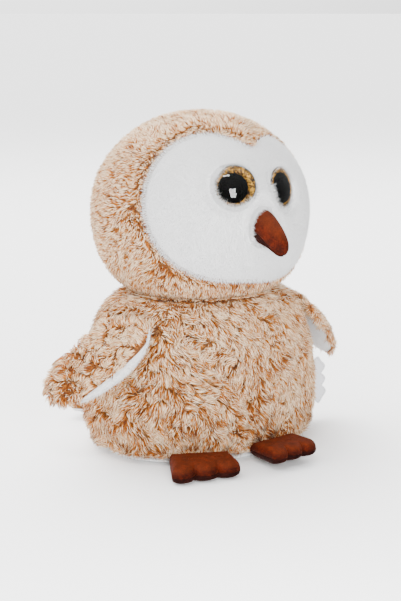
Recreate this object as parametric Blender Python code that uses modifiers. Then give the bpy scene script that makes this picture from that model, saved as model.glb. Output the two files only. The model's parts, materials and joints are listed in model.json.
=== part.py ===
"""Plush owl that sits upright on a flat sewn base.

Metres, +Z up. The origin is on the floor under the middle of the base. The owl looks along -Y, so its
own left side is at +X. A fabric piece is one closed solid whose thickness holds the backing and the
standing pile. Stuffing fills the room that the fabric leaves.
"""

import math

import bmesh
import bpy
from mathutils import Matrix, Vector

# Fits between pieces
SEAM_GAP = 0.0003  # between two pieces that are sewn edge to edge
FILL_GAP = 0.0008  # between a stuffing and the fabric round it
TURN_GAP = 0.0005  # between a piece that turns and what it turns on
OVERRUN = 0.004  # how far a cutter runs past the face that it opens

# Torso
NECK_HEIGHT = 0.123
BODY_HALF_WIDTH = 0.0943
BODY_HALF_DEPTH = 0.0725
BODY_PILE = 0.006
NECK_HALF_WIDTH = 0.055
NECK_HALF_DEPTH = 0.050
BASE_THICKNESS = 0.004
BASE_EDGE_ROUND = 0.0015
BODY_RING_SHARES = (  # share of the neck's height, share of the body's half width and half depth
    (0.08, 0.965),
    (0.24, 1.01),
    (0.46, 1.005),
    (0.68, 0.955),
    (0.86, 0.875),
    (0.97, 0.76),
)
BASE_SHARE = 0.87  # the base panel's half width and half depth, as a share of the body's
BODY_COUNT = 16  # corners of a ring of the torso and the head
SEAT_STEPS = 10  # levels at which a piece is held off the torso's wall
INNER_COUNT = 12  # and of the hollows and stuffings inside them

# Bag of plastic pellets on the base panel
POUCH_HALF_WIDTH = 0.056
POUCH_HALF_DEPTH = 0.040
POUCH_HEIGHT = 0.024
POUCH_RING_SHARES = ((0.0, 0.80), (0.35, 1.0), (0.75, 0.82), (1.0, 0.40))

# Head
HEAD_HEIGHT = 0.137
HEAD_HALF_WIDTH = 0.0830
HEAD_HALF_DEPTH = 0.0815
HEAD_PILE = 0.005
FACE_PILE = 0.004
FACE_INSET = 0.0008  # the face's short pile lies this much lower than the hood's
HEAD_RING_SHARES = (  # share of the head's height, share of its half width and half depth
    (0.035, 0.76),
    (0.14, 0.925),
    (0.30, 1.01),
    (0.47, 1.035),
    (0.64, 0.98),
    (0.80, 0.81),
    (0.93, 0.54),
    (1.0, 0.22),
)
HEAD_CENTRE_SHARE = 0.44  # height of the point that the face is laid out from
FACE_PITCH_DEG = 7.5  # the face looks up by this much
FACE_ROLL_DEG = 6  # it leans to the owl's left by this much
FACE_YAW_DEG = 7  # and it is turned to the owl's left by this much

# Face outline: angle round the face's middle from straight up, and angular radius, both in degrees
FACE_OUTLINE_DEG = (
    (0, 35),
    (14, 43),
    (26, 52),
    (38, 58),
    (50, 62),
    (64, 64.5),
    (80, 65.5),
    (97, 64.5),
    (115, 60.5),
    (133, 54),
    (147, 48.5),
    (163, 43.5),
    (180, 41),
)
FACE_STEPS = 2  # points of the outline between two rows of the table
CONE_REACH = 1.35  # the face cutter's rim, in head half widths from the middle
CONE_TIP = 2.6  # its point in front of the face, in head half widths

# Eyes
EYE_RADIUS = 0.0152
EYE_HALF_SPACING = 0.0198
EYE_FORWARD = 0.0720
EYE_RISE_SHARE = 0.1131  # of the head's height, above its middle and square to the face's lean
EYE_SPLAY_DEG = 27
EYE_TILT_DEG = 5
EYE_SKIRT = 0.0006
EYE_DOME_HEIGHT = 0.0098
EYE_SKIRT_HEIGHT = 0.0022
EYE_HOLLOW = 0.0036
IRIS_THICKNESS = 0.0008
PUPIL_RADIUS = 0.0116
PUPIL_THICKNESS = 0.0014
FLANGE_THICKNESS = 0.0014
STEM_RADIUS = 0.0025
STEM_LENGTH = 0.0130
STEM_RIB = 0.0004
STEM_RIB_PITCH = 0.0022
WASHER_RADIUS = 0.0090
WASHER_THICKNESS = 0.0016
SOCKET_RADIUS = 0.034  # of the hollow that the eye is drawn into
TURNED_STEPS = 16

# Beak
BEAK_LENGTH = 0.034
BEAK_HALF_WIDTH = 0.0108
BEAK_HALF_HEIGHT = 0.0130
BEAK_ROOT_FORWARD = 0.0750
BEAK_ROOT_DROP = 0.0105
BEAK_DROOP_DEG = 27
BEAK_PILE = 0.0016
BEAK_SEAM_SHARE = -0.25  # height of its side seam, as a share of the half height
BEAK_RING_SHARES = (  # share of the length, share of the half width, share of the half height, droop
    (0.0, 0.92, 0.96, 0.0),
    (0.20, 1.0, 1.0, 0.0),
    (0.45, 0.90, 0.84, 0.02),
    (0.70, 0.72, 0.66, 0.14),
    (0.90, 0.50, 0.46, 0.36),
    (1.0, 0.24, 0.22, 0.50),
)
BEAK_COUNT = 12

# Wings
WING_LENGTH = 0.076
WING_SWEEP = 0.034  # how far the tip lies behind the root
WING_HALF_WIDTH = 0.0325
WING_HALF_THICKNESS = 0.0080
WING_PILE = 0.0036
WING_ROOT_SHARE = 0.878  # height of the wings' roots, as a share of the neck's
WING_BEARING_DEG = {"left": 84, "right": 55}  # where the root lies, from straight ahead round to the side
WING_DROOP_DEG = {"left": 52, "right": 54}  # how far the wing hangs below level
WING_RING_SHARES = (  # shares of the length, half width, half thickness and sweep
    (0.0, 0.72, 0.30, 0.0),
    (0.16, 0.90, 0.62, 0.11),
    (0.36, 1.02, 0.96, 0.30),
    (0.58, 1.02, 1.0, 0.56),
    (0.80, 0.84, 0.86, 0.84),
    (0.94, 0.56, 0.58, 0.97),
    (1.0, 0.28, 0.26, 1.0),
)
WING_COUNT = 12

# Feet
FOOT_HALF_WIDTH = 0.0235
FOOT_LENGTH = 0.0340
FOOT_THICKNESS = 0.0130
FOOT_ROUND = 0.0062
FOOT_PILE = 0.0014
FOOT_BEARING_DEG = {"left": 12, "right": 17}  # where the root lies, from straight ahead round to the side
FOOT_SEAM_SHARE = 0.42  # height of the edge seam, as a share of the foot's thickness
FOOT_LIFT = {"left": 0.0050, "right": 0.0004}  # of the sole above the floor
LOBE_DEPTH_SHARE = 0.30  # how far a lobe reaches past the notches, as a share of its width
TOE_COUNT = 3
LOBE_STEPS = 5

# Tail
TAIL_HALF_WIDTH = 0.064
TAIL_ROOT_HALF_WIDTH = 0.040
TAIL_LENGTH = 0.040
TAIL_THICKNESS = 0.0140
TAIL_ROUND = 0.0067
TAIL_PILE = 0.0030
TAIL_BEARING_DEG = 180
TAIL_LIFT = 0.0008
TAIL_LOBES = 5

# Sewn label
LABEL_WIDTH = 0.030
LABEL_HEIGHT = 0.040
LABEL_THICKNESS = 0.0012
LABEL_BOTTOM = 0.011
LABEL_BEARING_DEG = 98
LABEL_SCALLOPS = 3
SCALLOP_DEPTH_SHARE = 0.32
SCALLOP_STEPS = 4

CENTRED = Vector((0.0, 0.0))
LEFT, RIGHT = 1, -1
SIDES = {"left": LEFT, "right": RIGHT}


def clear_scene():
    for old in list(bpy.data.objects):
        bpy.data.objects.remove(old)


def collection(name, hidden=False):
    made = bpy.data.collections.new(name)
    bpy.context.scene.collection.children.link(made)
    made.hide_render = hidden
    return made


def material(name, colour, roughness=0.9):
    made = bpy.data.materials.new(name)
    made.use_nodes = True
    shader = made.node_tree.nodes["Principled BSDF"]
    shader.inputs["Base Color"].default_value = (*colour, 1)
    shader.inputs["Roughness"].default_value = roughness
    made.diffuse_color = (*colour, 1)
    return made


def link(mesh, name, home):
    made = bpy.data.objects.new(name, mesh)
    home.objects.link(made)
    if home.hide_render:
        made.hide_render = True
        made.display_type = "WIRE"
    return made


def finish(part, paint):
    part.data.materials.clear()
    part.data.materials.append(paint)
    part.data.shade_smooth()
    return part


def cut(part, tool, operation="DIFFERENCE"):
    boolean = part.modifiers.new(operation.title(), "BOOLEAN")
    boolean.object = tool
    boolean.operation = operation
    boolean.solver = "EXACT"


def cage(name, rings, count, home, flat_ends=(False, False), levels=1):
    """A closed soft form: rings (height, half x, half y, shift) joined into a cage and subdivided.

    The smooth surface lies inside a cage's corners, so each ring is drawn larger by a fixed ratio and the
    finished piece has the half sizes that the rings state. A flat end keeps a sharp rim.
    """
    grow = 3 / (2 + math.cos(2 * math.pi / count))
    bm = bmesh.new()
    crease = bm.edges.layers.float.new("crease_edge")
    loops = []
    for height, half_x, half_y, shift in rings:
        loop = []
        for i in range(count):
            a = 2 * math.pi * i / count
            x = shift.x + half_x * grow * math.cos(a)
            y = shift.y + half_y * grow * math.sin(a)
            loop.append(bm.verts.new((x, y, height)))
        loops.append(loop)
    for low, high in zip(loops, loops[1:]):
        for i in range(count):
            j = (i + 1) % count
            bm.faces.new((low[i], low[j], high[j], high[i]))
    bottom = bm.faces.new(loops[0][::-1])
    top = bm.faces.new(loops[-1])
    for flat, face in zip(flat_ends, (bottom, top)):
        if flat:
            for edge in face.edges:
                edge[crease] = 1
    mesh = bpy.data.meshes.new(name)
    bm.to_mesh(mesh)
    bm.free()
    made = link(mesh, name, home)
    smooth = made.modifiers.new("Smooth", "SUBSURF")
    smooth.levels = levels
    smooth.render_levels = levels
    return made


def inset_rings(rings, inset):
    """The rings moved inwards by the same distance everywhere, square to the profile that they follow."""
    moved = []
    for i, (height, half_x, half_y, shift) in enumerate(rings):
        before = rings[max(i - 1, 0)]
        after = rings[min(i + 1, len(rings) - 1)]
        rise = after[0] - before[0]
        spread = after[1] - before[1]
        length = math.hypot(rise, spread)
        inwards = inset * rise / length
        moved.append((height + inset * spread / length, half_x - inwards, half_y - inwards, shift))
    return moved


def turned(name, profile, home, steps=TURNED_STEPS):
    """A solid of revolution about local Z from (radius, height) points, listed from top to bottom."""
    mesh = bpy.data.meshes.new(name)
    edges = [(i, i + 1) for i in range(len(profile) - 1)]
    mesh.from_pydata([(radius, 0, height) for radius, height in profile], edges, [])
    made = link(mesh, name, home)
    screw = made.modifiers.new("Screw", "SCREW")
    screw.steps = steps
    screw.render_steps = steps
    screw.use_merge_vertices = True
    screw.merge_threshold = 1e-6
    return made


def slab(name, low, high, home):
    """A box between two corners, used to keep one side of a piece."""
    bm = bmesh.new()
    bmesh.ops.create_cube(bm, size=1)
    size = Vector(high) - Vector(low)
    bmesh.ops.scale(bm, vec=size, verts=bm.verts)
    bmesh.ops.translate(bm, vec=Vector(low) + size / 2, verts=bm.verts)
    mesh = bpy.data.meshes.new(name)
    bm.to_mesh(mesh)
    bm.free()
    return link(mesh, name, home)


def pad(name, outline, thickness, rounding, inset, home, fineness=2):
    """A flat pad with full round edges, filled from an outline that lies a rounding inside its edge.

    The outline's points are at the pad's real edge. An inset makes the same pad smaller all round.
    """
    curve = bpy.data.curves.new(name, "CURVE")
    curve.dimensions = "2D"
    curve.fill_mode = "BOTH"
    curve.offset = -rounding
    curve.extrude = thickness / 2 - rounding
    curve.bevel_depth = rounding - inset
    curve.bevel_resolution = fineness
    spline = curve.splines.new("POLY")
    spline.points.add(len(outline) - 1)
    for point, (x, y) in zip(spline.points, outline):
        point.co = (x, y, 0, 1)
    spline.use_cyclic_u = True
    guide = link(curve, name + "_outline", home)
    graph = bpy.context.evaluated_depsgraph_get()
    mesh = bpy.data.meshes.new_from_object(guide.evaluated_get(graph))
    bpy.data.objects.remove(guide)
    bm = bmesh.new()
    bm.from_mesh(mesh)
    bmesh.ops.remove_doubles(bm, verts=bm.verts, dist=SEAM_GAP / 10)
    bmesh.ops.recalc_face_normals(bm, faces=bm.faces)
    bm.to_mesh(mesh)
    bm.free()
    mesh.name = name
    return link(mesh, name, home)


def scallops(start, end, count, depth_share, steps):
    """Points along a row of equal arcs that bulge to the right of the way from start to end."""
    start, end = Vector(start), Vector(end)
    step = (end - start) / count
    width = step.length
    out = Vector((step.y, -step.x)).normalized()
    sag = width * depth_share
    radius = (width * width / 4 + sag * sag) / (2 * sag)
    half = math.asin(min(1, width / 2 / radius))
    if sag > radius:
        half = math.pi - half
    points = []
    for k in range(count):
        middle = start + step * (k + 0.5)
        centre = middle + out * (sag - radius)
        for i in range(steps):
            angle = -half + 2 * half * i / steps
            points.append(centre + out * radius * math.cos(angle) + step / width * radius * math.sin(angle))
    points.append(end)
    return [tuple(point) for point in points]


def body_rings(inset=0.0):
    """Rings of the torso from the base seam up to the neck seam."""
    rings = [
        (BASE_THICKNESS + SEAM_GAP, BODY_HALF_WIDTH * BASE_SHARE, BODY_HALF_DEPTH * BASE_SHARE, CENTRED)
    ]
    for height_share, share in BODY_RING_SHARES:
        rings.append((NECK_HEIGHT * height_share, BODY_HALF_WIDTH * share, BODY_HALF_DEPTH * share, CENTRED))
    rings.append((NECK_HEIGHT, NECK_HALF_WIDTH, NECK_HALF_DEPTH, CENTRED))
    return inset_rings(rings, inset) if inset else rings


def head_rings(inset=0.0):
    """Rings of the head from the neck seam up to the crown."""
    foot = NECK_HEIGHT + SEAM_GAP
    rings = [(foot, NECK_HALF_WIDTH, NECK_HALF_DEPTH, CENTRED)]
    for height_share, share in HEAD_RING_SHARES:
        rings.append((foot + HEAD_HEIGHT * height_share, HEAD_HALF_WIDTH * share, HEAD_HALF_DEPTH * share, CENTRED))
    return inset_rings(rings, inset) if inset else rings


def through_neck(rings, inset, height, at_start):
    """Adds the flat end of a hollow or a stuffing that reaches the neck seam, inside the seam's edge."""
    end = (height, NECK_HALF_WIDTH - inset, NECK_HALF_DEPTH - inset, CENTRED)
    return [end] + rings[1:] if at_start else rings[:-1] + [end]


def torso_wall(cutters):
    """The edges of the torso's outer surface, as pairs of corners from low to high."""
    guide = cage("torso_guide", body_rings(), BODY_COUNT, cutters, (True, True))
    graph = bpy.context.evaluated_depsgraph_get()
    surface = guide.evaluated_get(graph).data
    corners = [vertex.co.copy() for vertex in surface.vertices]
    return [sorted((corners[a], corners[b]), key=lambda corner: corner.z) for a, b in surface.edge_keys]


def wall_reach(wall, out, low, high):
    """How far the torso reaches in a level direction, between two heights."""
    reach = 0.0
    for start, end in wall:
        if end.z < low or start.z > high:
            continue
        rise = end.z - start.z
        for height in (max(low, start.z), min(high, end.z)):
            along = (height - start.z) / rise if rise else 0.0
            reach = max(reach, out.dot(start.lerp(end, along)))
    return reach


def rolled_reach(wall, out, height, radius):
    """How far out the axis of a level roller lies that stands at a height and touches the wall."""
    reach = 0.0
    for k in range(1 - SEAT_STEPS, SEAT_STEPS):
        rise = radius * k / SEAT_STEPS
        level = height + rise
        reach = max(reach, wall_reach(wall, out, level, level) + math.sqrt(radius**2 - rise**2))
    return reach


def seat(bearing_deg, height, reach_to):
    """A place beside the torso: local X runs along its wall, local Y out of it and local Z up.

    The bearing is counted from straight ahead towards the owl's left, and reach_to gives how far out the
    place lies in a level direction. It lies where the torso's oval runs along local X.
    """
    bearing = math.radians(bearing_deg)
    out = Vector((math.sin(bearing), -math.cos(bearing), 0))
    along = Vector((-math.cos(bearing), -math.sin(bearing), 0))
    oval = Vector((BODY_HALF_WIDTH * out.x, BODY_HALF_DEPTH * out.y, 0))
    touch = Vector((BODY_HALF_WIDTH * oval.x, BODY_HALF_DEPTH * oval.y, 0)) / oval.length
    spot = out * reach_to(out) + along * along.dot(touch)
    return Matrix.Translation((spot.x, spot.y, height)) @ Matrix.Rotation(bearing + math.pi, 4, "Z")


def hinge_place(wall, bearing_deg, height, radius):
    """A seat for a piece that rolls on the wall about local X, with an end no thicker than the radius."""
    return seat(bearing_deg, height, lambda out: rolled_reach(wall, out, height, radius + TURN_GAP))


def make_torso(parts, cutters, paints):
    hollow = body_rings(BODY_PILE)
    lip = hollow[0]
    hollow = through_neck(hollow, BODY_PILE, NECK_HEIGHT + OVERRUN, False)
    hollow = [(BASE_THICKNESS - OVERRUN, lip[1], lip[2], lip[3])] + hollow
    inside = cage("body_hollow", hollow, INNER_COUNT, cutters, (True, True))
    cover = cage("body_cover", body_rings(), BODY_COUNT, parts, (True, True))
    cut(cover, inside)
    finish(cover, paints["tan plush"])

    gap = BODY_PILE + FILL_GAP
    full = through_neck(body_rings(gap), gap, NECK_HEIGHT - FILL_GAP / 2, False)
    floor = full[0]
    full = [(BASE_THICKNESS + FILL_GAP, floor[1], floor[2], CENTRED)] + full
    filling = cage("body_filling", full, INNER_COUNT, parts, (True, True))
    pocket = pouch_form("pouch_pocket", FILL_GAP, -OVERRUN, cutters)
    cut(filling, pocket)
    finish(filling, paints["white fibre"])

    pouch = pouch_form("pellet_pouch", 0.0, 0.0, parts)
    finish(pouch, paints["pouch cloth"])

    finish(make_base(parts), paints["white plush"])


def make_base(parts):
    """The flat oval panel that the toy sits on."""
    bm = bmesh.new()
    bmesh.ops.create_cone(
        bm, cap_ends=True, segments=2 * BODY_COUNT, radius1=1, radius2=1, depth=BASE_THICKNESS
    )
    bmesh.ops.scale(bm, vec=(BODY_HALF_WIDTH * BASE_SHARE, BODY_HALF_DEPTH * BASE_SHARE, 1), verts=bm.verts)
    bmesh.ops.translate(bm, vec=(0, 0, BASE_THICKNESS / 2), verts=bm.verts)
    mesh = bpy.data.meshes.new("base_panel")
    bm.to_mesh(mesh)
    bm.free()
    panel = link(mesh, "base_panel", parts)
    bevel = panel.modifiers.new("Edge", "BEVEL")
    bevel.width = BASE_EDGE_ROUND
    bevel.segments = 2
    bevel.limit_method = "ANGLE"
    return panel


def pouch_form(name, grow, bottom, home):
    """The pellet bag, or with a growth the pocket that it lies in. It stands on the base panel."""
    floor = BASE_THICKNESS + FILL_GAP
    rings = []
    for height_share, share in POUCH_RING_SHARES:
        top = grow if height_share == 1 else 0.0
        drop = bottom if height_share == 0 else 0.0
        rings.append(
            (
                floor + POUCH_HEIGHT * height_share + top + drop,
                POUCH_HALF_WIDTH * share + grow,
                POUCH_HALF_DEPTH * share + grow,
                CENTRED,
            )
        )
    return cage(name, rings, INNER_COUNT, home, (True, False))


def face_outline():
    """Directions round the heart-shaped face, seen from the middle of the head, as unit vectors."""
    table = list(FACE_OUTLINE_DEG)
    whole = [(-a, r) for a, r in table[1:-1]][::-1] + table
    count = len(whole)
    rows = []
    for k in range(count):
        quad = []
        for offset in (-1, 0, 1, 2):
            index = k + offset
            turn, radius = whole[index % count]
            quad.append((turn + 360 * (index // count), radius))
        for step in range(FACE_STEPS):
            t = step / FACE_STEPS
            rows.append([catmull_rom([row[axis] for row in quad], t) for axis in (0, 1)])
    directions = []
    for turn, radius in rows:
        turn, radius = math.radians(turn), math.radians(radius)
        across = math.sin(radius)
        directions.append(
            Vector((across * math.sin(turn), -math.cos(radius), across * math.cos(turn)))
        )
    return directions


def catmull_rom(values, t):
    a, b, c, d = values
    return 0.5 * (2 * b + (c - a) * t + (2 * a - 5 * b + 4 * c - d) * t**2 + (3 * b - a - 3 * c + d) * t**3)


def face_cutter(name, pull, cutters):
    """A spindle whose sides run from the head's middle through the face outline.

    Pulled back along Y, it cuts the same outline smaller by about that distance.
    """
    directions = face_outline()
    bm = bmesh.new()
    heart = bm.verts.new((0, 0, 0))
    tip = bm.verts.new((0, -HEAD_HALF_WIDTH * CONE_TIP, 0))
    rim = [bm.verts.new(d * HEAD_HALF_WIDTH * CONE_REACH) for d in directions]
    for i, corner in enumerate(rim):
        after = rim[(i + 1) % len(rim)]
        bm.faces.new((heart, corner, after))
        bm.faces.new((tip, after, corner))
    bmesh.ops.recalc_face_normals(bm, faces=bm.faces)
    mesh = bpy.data.meshes.new(name)
    bm.to_mesh(mesh)
    bm.free()
    made = link(mesh, name, cutters)
    made.matrix_world = face_place() @ Matrix.Translation((0, -pull, 0))
    return made


def face_place():
    """The face's frame: its origin is the middle of the head, local -Y looks out and local Z is up."""
    pitch = Matrix.Rotation(math.radians(-FACE_PITCH_DEG), 4, "X")
    roll = Matrix.Rotation(math.radians(FACE_ROLL_DEG), 4, "Y")
    yaw = Matrix.Rotation(math.radians(FACE_YAW_DEG), 4, "Z")
    return Matrix.Translation((0, 0, NECK_HEIGHT + HEAD_HEIGHT * HEAD_CENTRE_SHARE)) @ yaw @ roll @ pitch


def eye_place(side):
    """An eye's frame: local Z looks out of the socket, and its zero is the fabric behind the eye."""
    turn = Matrix.Rotation(math.radians(side * EYE_SPLAY_DEG), 4, "Z")
    tilt = Matrix.Rotation(math.radians(90 - EYE_TILT_DEG), 4, "X")
    place = Matrix.Translation((side * EYE_HALF_SPACING, -EYE_FORWARD, HEAD_HEIGHT * EYE_RISE_SHARE))
    return face_place() @ place @ turn @ tilt


def socket_profile(bore, floor, sphere, back):
    """Top to bottom: a ball that forms the hollow, a straight bore, and what lies behind its floor."""
    angle = math.asin(bore / sphere)
    steps = TURNED_STEPS // 3
    points = [
        (sphere * math.sin(a), SOCKET_RADIUS + sphere * math.cos(a))
        for a in [(math.pi - angle) * i / steps for i in range(steps + 1)]
    ]
    points[0] = (0, SOCKET_RADIUS + sphere)
    return points + [(bore, floor)] + back


def make_head(parts, cutters, paints):
    base = NECK_HEIGHT + SEAM_GAP
    hollow = through_neck(head_rings(HEAD_PILE), HEAD_PILE, base - OVERRUN, True)
    inside = cage("head_hollow", hollow, INNER_COUNT, cutters, (True, False))
    bore = EYE_RADIUS + SEAM_GAP
    for name, side in SIDES.items():
        wall = turned(
            name + "_socket_wall",
            socket_profile(
                bore + FACE_PILE,
                -FACE_PILE,
                SOCKET_RADIUS + FACE_PILE,
                [(0, -FACE_PILE)],
            ),
            cutters,
        )
        wall.matrix_world = eye_place(side)
        cut(inside, wall)

    cover = cage("head_cover", head_rings(), BODY_COUNT, parts, (True, False))
    cut(cover, face_cutter("face_opening", 0.0, cutters))
    cut(cover, inside)
    finish(cover, paints["tan plush"])

    face = cage("face_panel", head_rings(FACE_INSET), BODY_COUNT, parts, (True, False))
    cut(face, face_cutter("face_outline", SEAM_GAP, cutters), "INTERSECT")
    for name, side in SIDES.items():
        hole = STEM_RADIUS + STEM_RIB + SEAM_GAP
        socket = turned(
            name + "_socket",
            socket_profile(
                bore,
                -SEAM_GAP,
                SOCKET_RADIUS,
                [(hole, -SEAM_GAP), (hole, -FACE_PILE - OVERRUN), (0, -FACE_PILE - OVERRUN)],
            ),
            cutters,
        )
        socket.matrix_world = eye_place(side)
        cut(face, socket)
    cut(face, inside)
    finish(face, paints["white plush"])

    gap = HEAD_PILE + FILL_GAP
    full = through_neck(head_rings(gap), gap, base + FILL_GAP / 2, True)
    filling = cage("head_filling", full, INNER_COUNT, parts, (True, False))
    for name, side in SIDES.items():
        room = WASHER_RADIUS + FILL_GAP
        depth = -STEM_LENGTH - FILL_GAP
        behind = turned(
            name + "_eye_room",
            socket_profile(
                bore + FACE_PILE + FILL_GAP,
                -FACE_PILE - FILL_GAP,
                SOCKET_RADIUS + FACE_PILE + FILL_GAP,
                [(room, -FACE_PILE - FILL_GAP), (room, depth), (0, depth)],
            ),
            cutters,
        )
        behind.matrix_world = eye_place(side)
        cut(filling, behind)
    finish(filling, paints["white fibre"])


def make_eyes(parts, paints):
    inner = EYE_RADIUS - EYE_SKIRT
    disc_top = FLANGE_THICKNESS + SEAM_GAP + IRIS_THICKNESS
    pupil_top = FLANGE_THICKNESS + SEAM_GAP + PUPIL_THICKNESS
    dome = EYE_DOME_HEIGHT - EYE_SKIRT_HEIGHT
    arc = TURNED_STEPS // 4
    dome_profile = [
        (EYE_RADIUS * math.sin(a), EYE_SKIRT_HEIGHT + dome * math.cos(a))
        for a in [math.pi / 2 * i / arc for i in range(arc + 1)]
    ]
    dome_profile[0] = (0, EYE_DOME_HEIGHT)
    lens = dome_profile + [(EYE_RADIUS, 0), (inner, 0), (inner, EYE_HOLLOW), (0, EYE_HOLLOW)]
    room = inner - SEAM_GAP
    iris = [
        (PUPIL_RADIUS + SEAM_GAP, disc_top),
        (room, disc_top),
        (room, disc_top - IRIS_THICKNESS),
        (PUPIL_RADIUS + SEAM_GAP, disc_top - IRIS_THICKNESS),
        (PUPIL_RADIUS + SEAM_GAP, disc_top),
    ]
    pupil = [
        (0, pupil_top),
        (PUPIL_RADIUS, pupil_top),
        (PUPIL_RADIUS, pupil_top - PUPIL_THICKNESS),
        (0, pupil_top - PUPIL_THICKNESS),
    ]
    stem = [(0, FLANGE_THICKNESS), (room, FLANGE_THICKNESS), (room, 0), (STEM_RADIUS, 0)]
    level = -FACE_PILE - WASHER_THICKNESS - STEM_RIB_PITCH
    while level > STEM_RIB_PITCH / 2 - STEM_LENGTH:
        stem += [
            (STEM_RADIUS, level),
            (STEM_RADIUS + STEM_RIB, level),
            (STEM_RADIUS, level - STEM_RIB_PITCH / 2),
        ]
        level -= STEM_RIB_PITCH
    stem += [(STEM_RADIUS, -STEM_LENGTH), (0, -STEM_LENGTH)]
    top = -FACE_PILE - SEAM_GAP
    bore = STEM_RADIUS + SEAM_GAP
    washer = [
        (bore, top),
        (WASHER_RADIUS, top),
        (WASHER_RADIUS, top - WASHER_THICKNESS),
        (bore, top - WASHER_THICKNESS),
        (bore, top),
    ]
    pieces = {
        "eye_lens": (lens, "clear plastic"),
        "eye_iris": (iris, "gold glitter"),
        "eye_pupil": (pupil, "black plastic"),
        "eye_stem": (stem, "black plastic"),
        "eye_washer": (washer, "white plastic"),
    }
    for name, side in SIDES.items():
        for piece, (profile, paint) in pieces.items():
            made = turned(f"{name}_{piece}", profile, parts)
            made.matrix_world = eye_place(side)
            finish(made, paints[paint])


def beak_form(name, inset, home):
    """The beak along local Z, its upper side towards local Y. It starts inside the face."""
    rings = []
    for share, across, tall, droop in BEAK_RING_SHARES:
        rings.append(
            (
                BEAK_LENGTH * share - (inset if share == 1 else 0.0),
                BEAK_HALF_WIDTH * across - inset,
                BEAK_HALF_HEIGHT * tall - inset,
                Vector((0.0, -BEAK_HALF_HEIGHT * droop)),
            )
        )
    made = cage(name, rings, BEAK_COUNT, home, (True, False))
    turn = Matrix.Rotation(math.radians(90 + BEAK_DROOP_DEG), 4, "X")
    made.matrix_world = face_place() @ Matrix.Translation((0, -BEAK_ROOT_FORWARD, -BEAK_ROOT_DROP)) @ turn
    return made


def make_beak(parts, cutters, paints):
    hollow = beak_form("beak_hollow", BEAK_PILE, cutters)
    front = cage("face_front", head_rings(FACE_INSET - SEAM_GAP), BODY_COUNT, cutters, (True, False))
    seam = BEAK_HALF_HEIGHT * BEAK_SEAM_SHARE
    reach = BEAK_LENGTH * 2
    halves = {"beak_upper": -1, "beak_under": 1}
    for name, away in halves.items():
        near = seam - away * SEAM_GAP / 2
        low, high = sorted((near, away * reach))
        other = slab(name + "_cut", (-reach, low, -reach), (reach, high, reach), cutters)
        other.matrix_world = hollow.matrix_world
        panel = beak_form(name, 0.0, parts)
        cut(panel, front)
        cut(panel, hollow)
        cut(panel, other)
        finish(panel, paints["rust velvet" if name == "beak_upper" else "dark velvet"])
    filling = beak_form("beak_filling", BEAK_PILE + FILL_GAP, parts)
    cut(filling, front)
    finish(filling, paints["white fibre"])


def wing_place(wall, name):
    """A wing's frame: local Z runs down the wing from its hinge line, which is local X, and -Y looks out."""
    root = WING_HALF_THICKNESS * WING_RING_SHARES[0][2]
    bearing = SIDES[name] * WING_BEARING_DEG[name]
    hang = Matrix.Rotation(math.radians(-90 - WING_DROOP_DEG[name]), 4, "X")
    return hinge_place(wall, bearing, NECK_HEIGHT * WING_ROOT_SHARE, root) @ hang


def wing_form(label, name, inset, place, home):
    rings = []
    for share, across, thick, sweep in WING_RING_SHARES:
        half = WING_HALF_THICKNESS * thick - inset
        if inset and half < FILL_GAP * 2:
            continue
        end = inset if share == 1 else 0.0
        back = Vector((-SIDES[name] * WING_SWEEP * sweep, 0.0))
        rings.append((WING_LENGTH * share - end, WING_HALF_WIDTH * across - inset, half, back))
    made = cage(label, rings, WING_COUNT, home, (not inset, False))
    made.matrix_world = place
    return made


def make_wings(wall, parts, cutters, paints):
    reach = WING_LENGTH * 2
    for name in SIDES:
        place = wing_place(wall, name)
        hollow = wing_form(name + "_wing_hollow", name, WING_PILE, place, cutters)
        for face, away in (("outer", 1), ("inner", -1)):
            near = -away * SEAM_GAP / 2
            low, high = sorted((near, away * reach))
            other = slab(f"{name}_wing_{face}_cut", (-reach, low, -reach), (reach, high, reach), cutters)
            other.matrix_world = place
            panel = wing_form(f"{name}_wing_{face}", name, 0.0, place, parts)
            cut(panel, hollow)
            cut(panel, other)
            finish(panel, paints["tan plush" if face == "outer" else "white plush"])
        filling = wing_form(name + "_wing_filling", name, WING_PILE + FILL_GAP, place, parts)
        finish(filling, paints["white fibre"])


def lobed_outline(root_half_width, half_width, length, rounding, lobes):
    """A straight root edge and an outer edge of equal lobes. The root's round edge is centred on local X."""
    lobe = 2 * half_width / lobes
    notch = length - rounding - lobe * LOBE_DEPTH_SHARE
    edge = scallops((half_width, notch), (-half_width, notch), lobes, LOBE_DEPTH_SHARE, LOBE_STEPS)
    return edge + [(-root_half_width, -rounding), (root_half_width, -rounding)]


def stuffed_flap(outline, thickness, rounding, pile, seam, place, panels, filling, parts, cutters, paints):
    """Two panels that meet in an edge seam at the height seam, and the stuffing between them."""
    hollow = pad(filling + "_hollow", outline, thickness, rounding, pile, cutters, 1)
    hollow.matrix_world = place
    reach = max(abs(value) for point in outline for value in point) * 2
    for (piece, paint), away in zip(panels.items(), (-1, 1)):
        near = seam - away * SEAM_GAP / 2
        low, high = sorted((near, away * reach))
        other = slab(piece + "_cut", (-reach, -reach, low), (reach, reach, high), cutters)
        other.matrix_world = place
        panel = pad(piece, outline, thickness, rounding, 0.0, parts)
        panel.matrix_world = place
        cut(panel, hollow)
        cut(panel, other)
        finish(panel, paints[paint])
    inner = pad(filling, outline, thickness, rounding, pile + FILL_GAP, parts, 1)
    inner.matrix_world = place
    finish(inner, paints["white fibre"])


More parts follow.
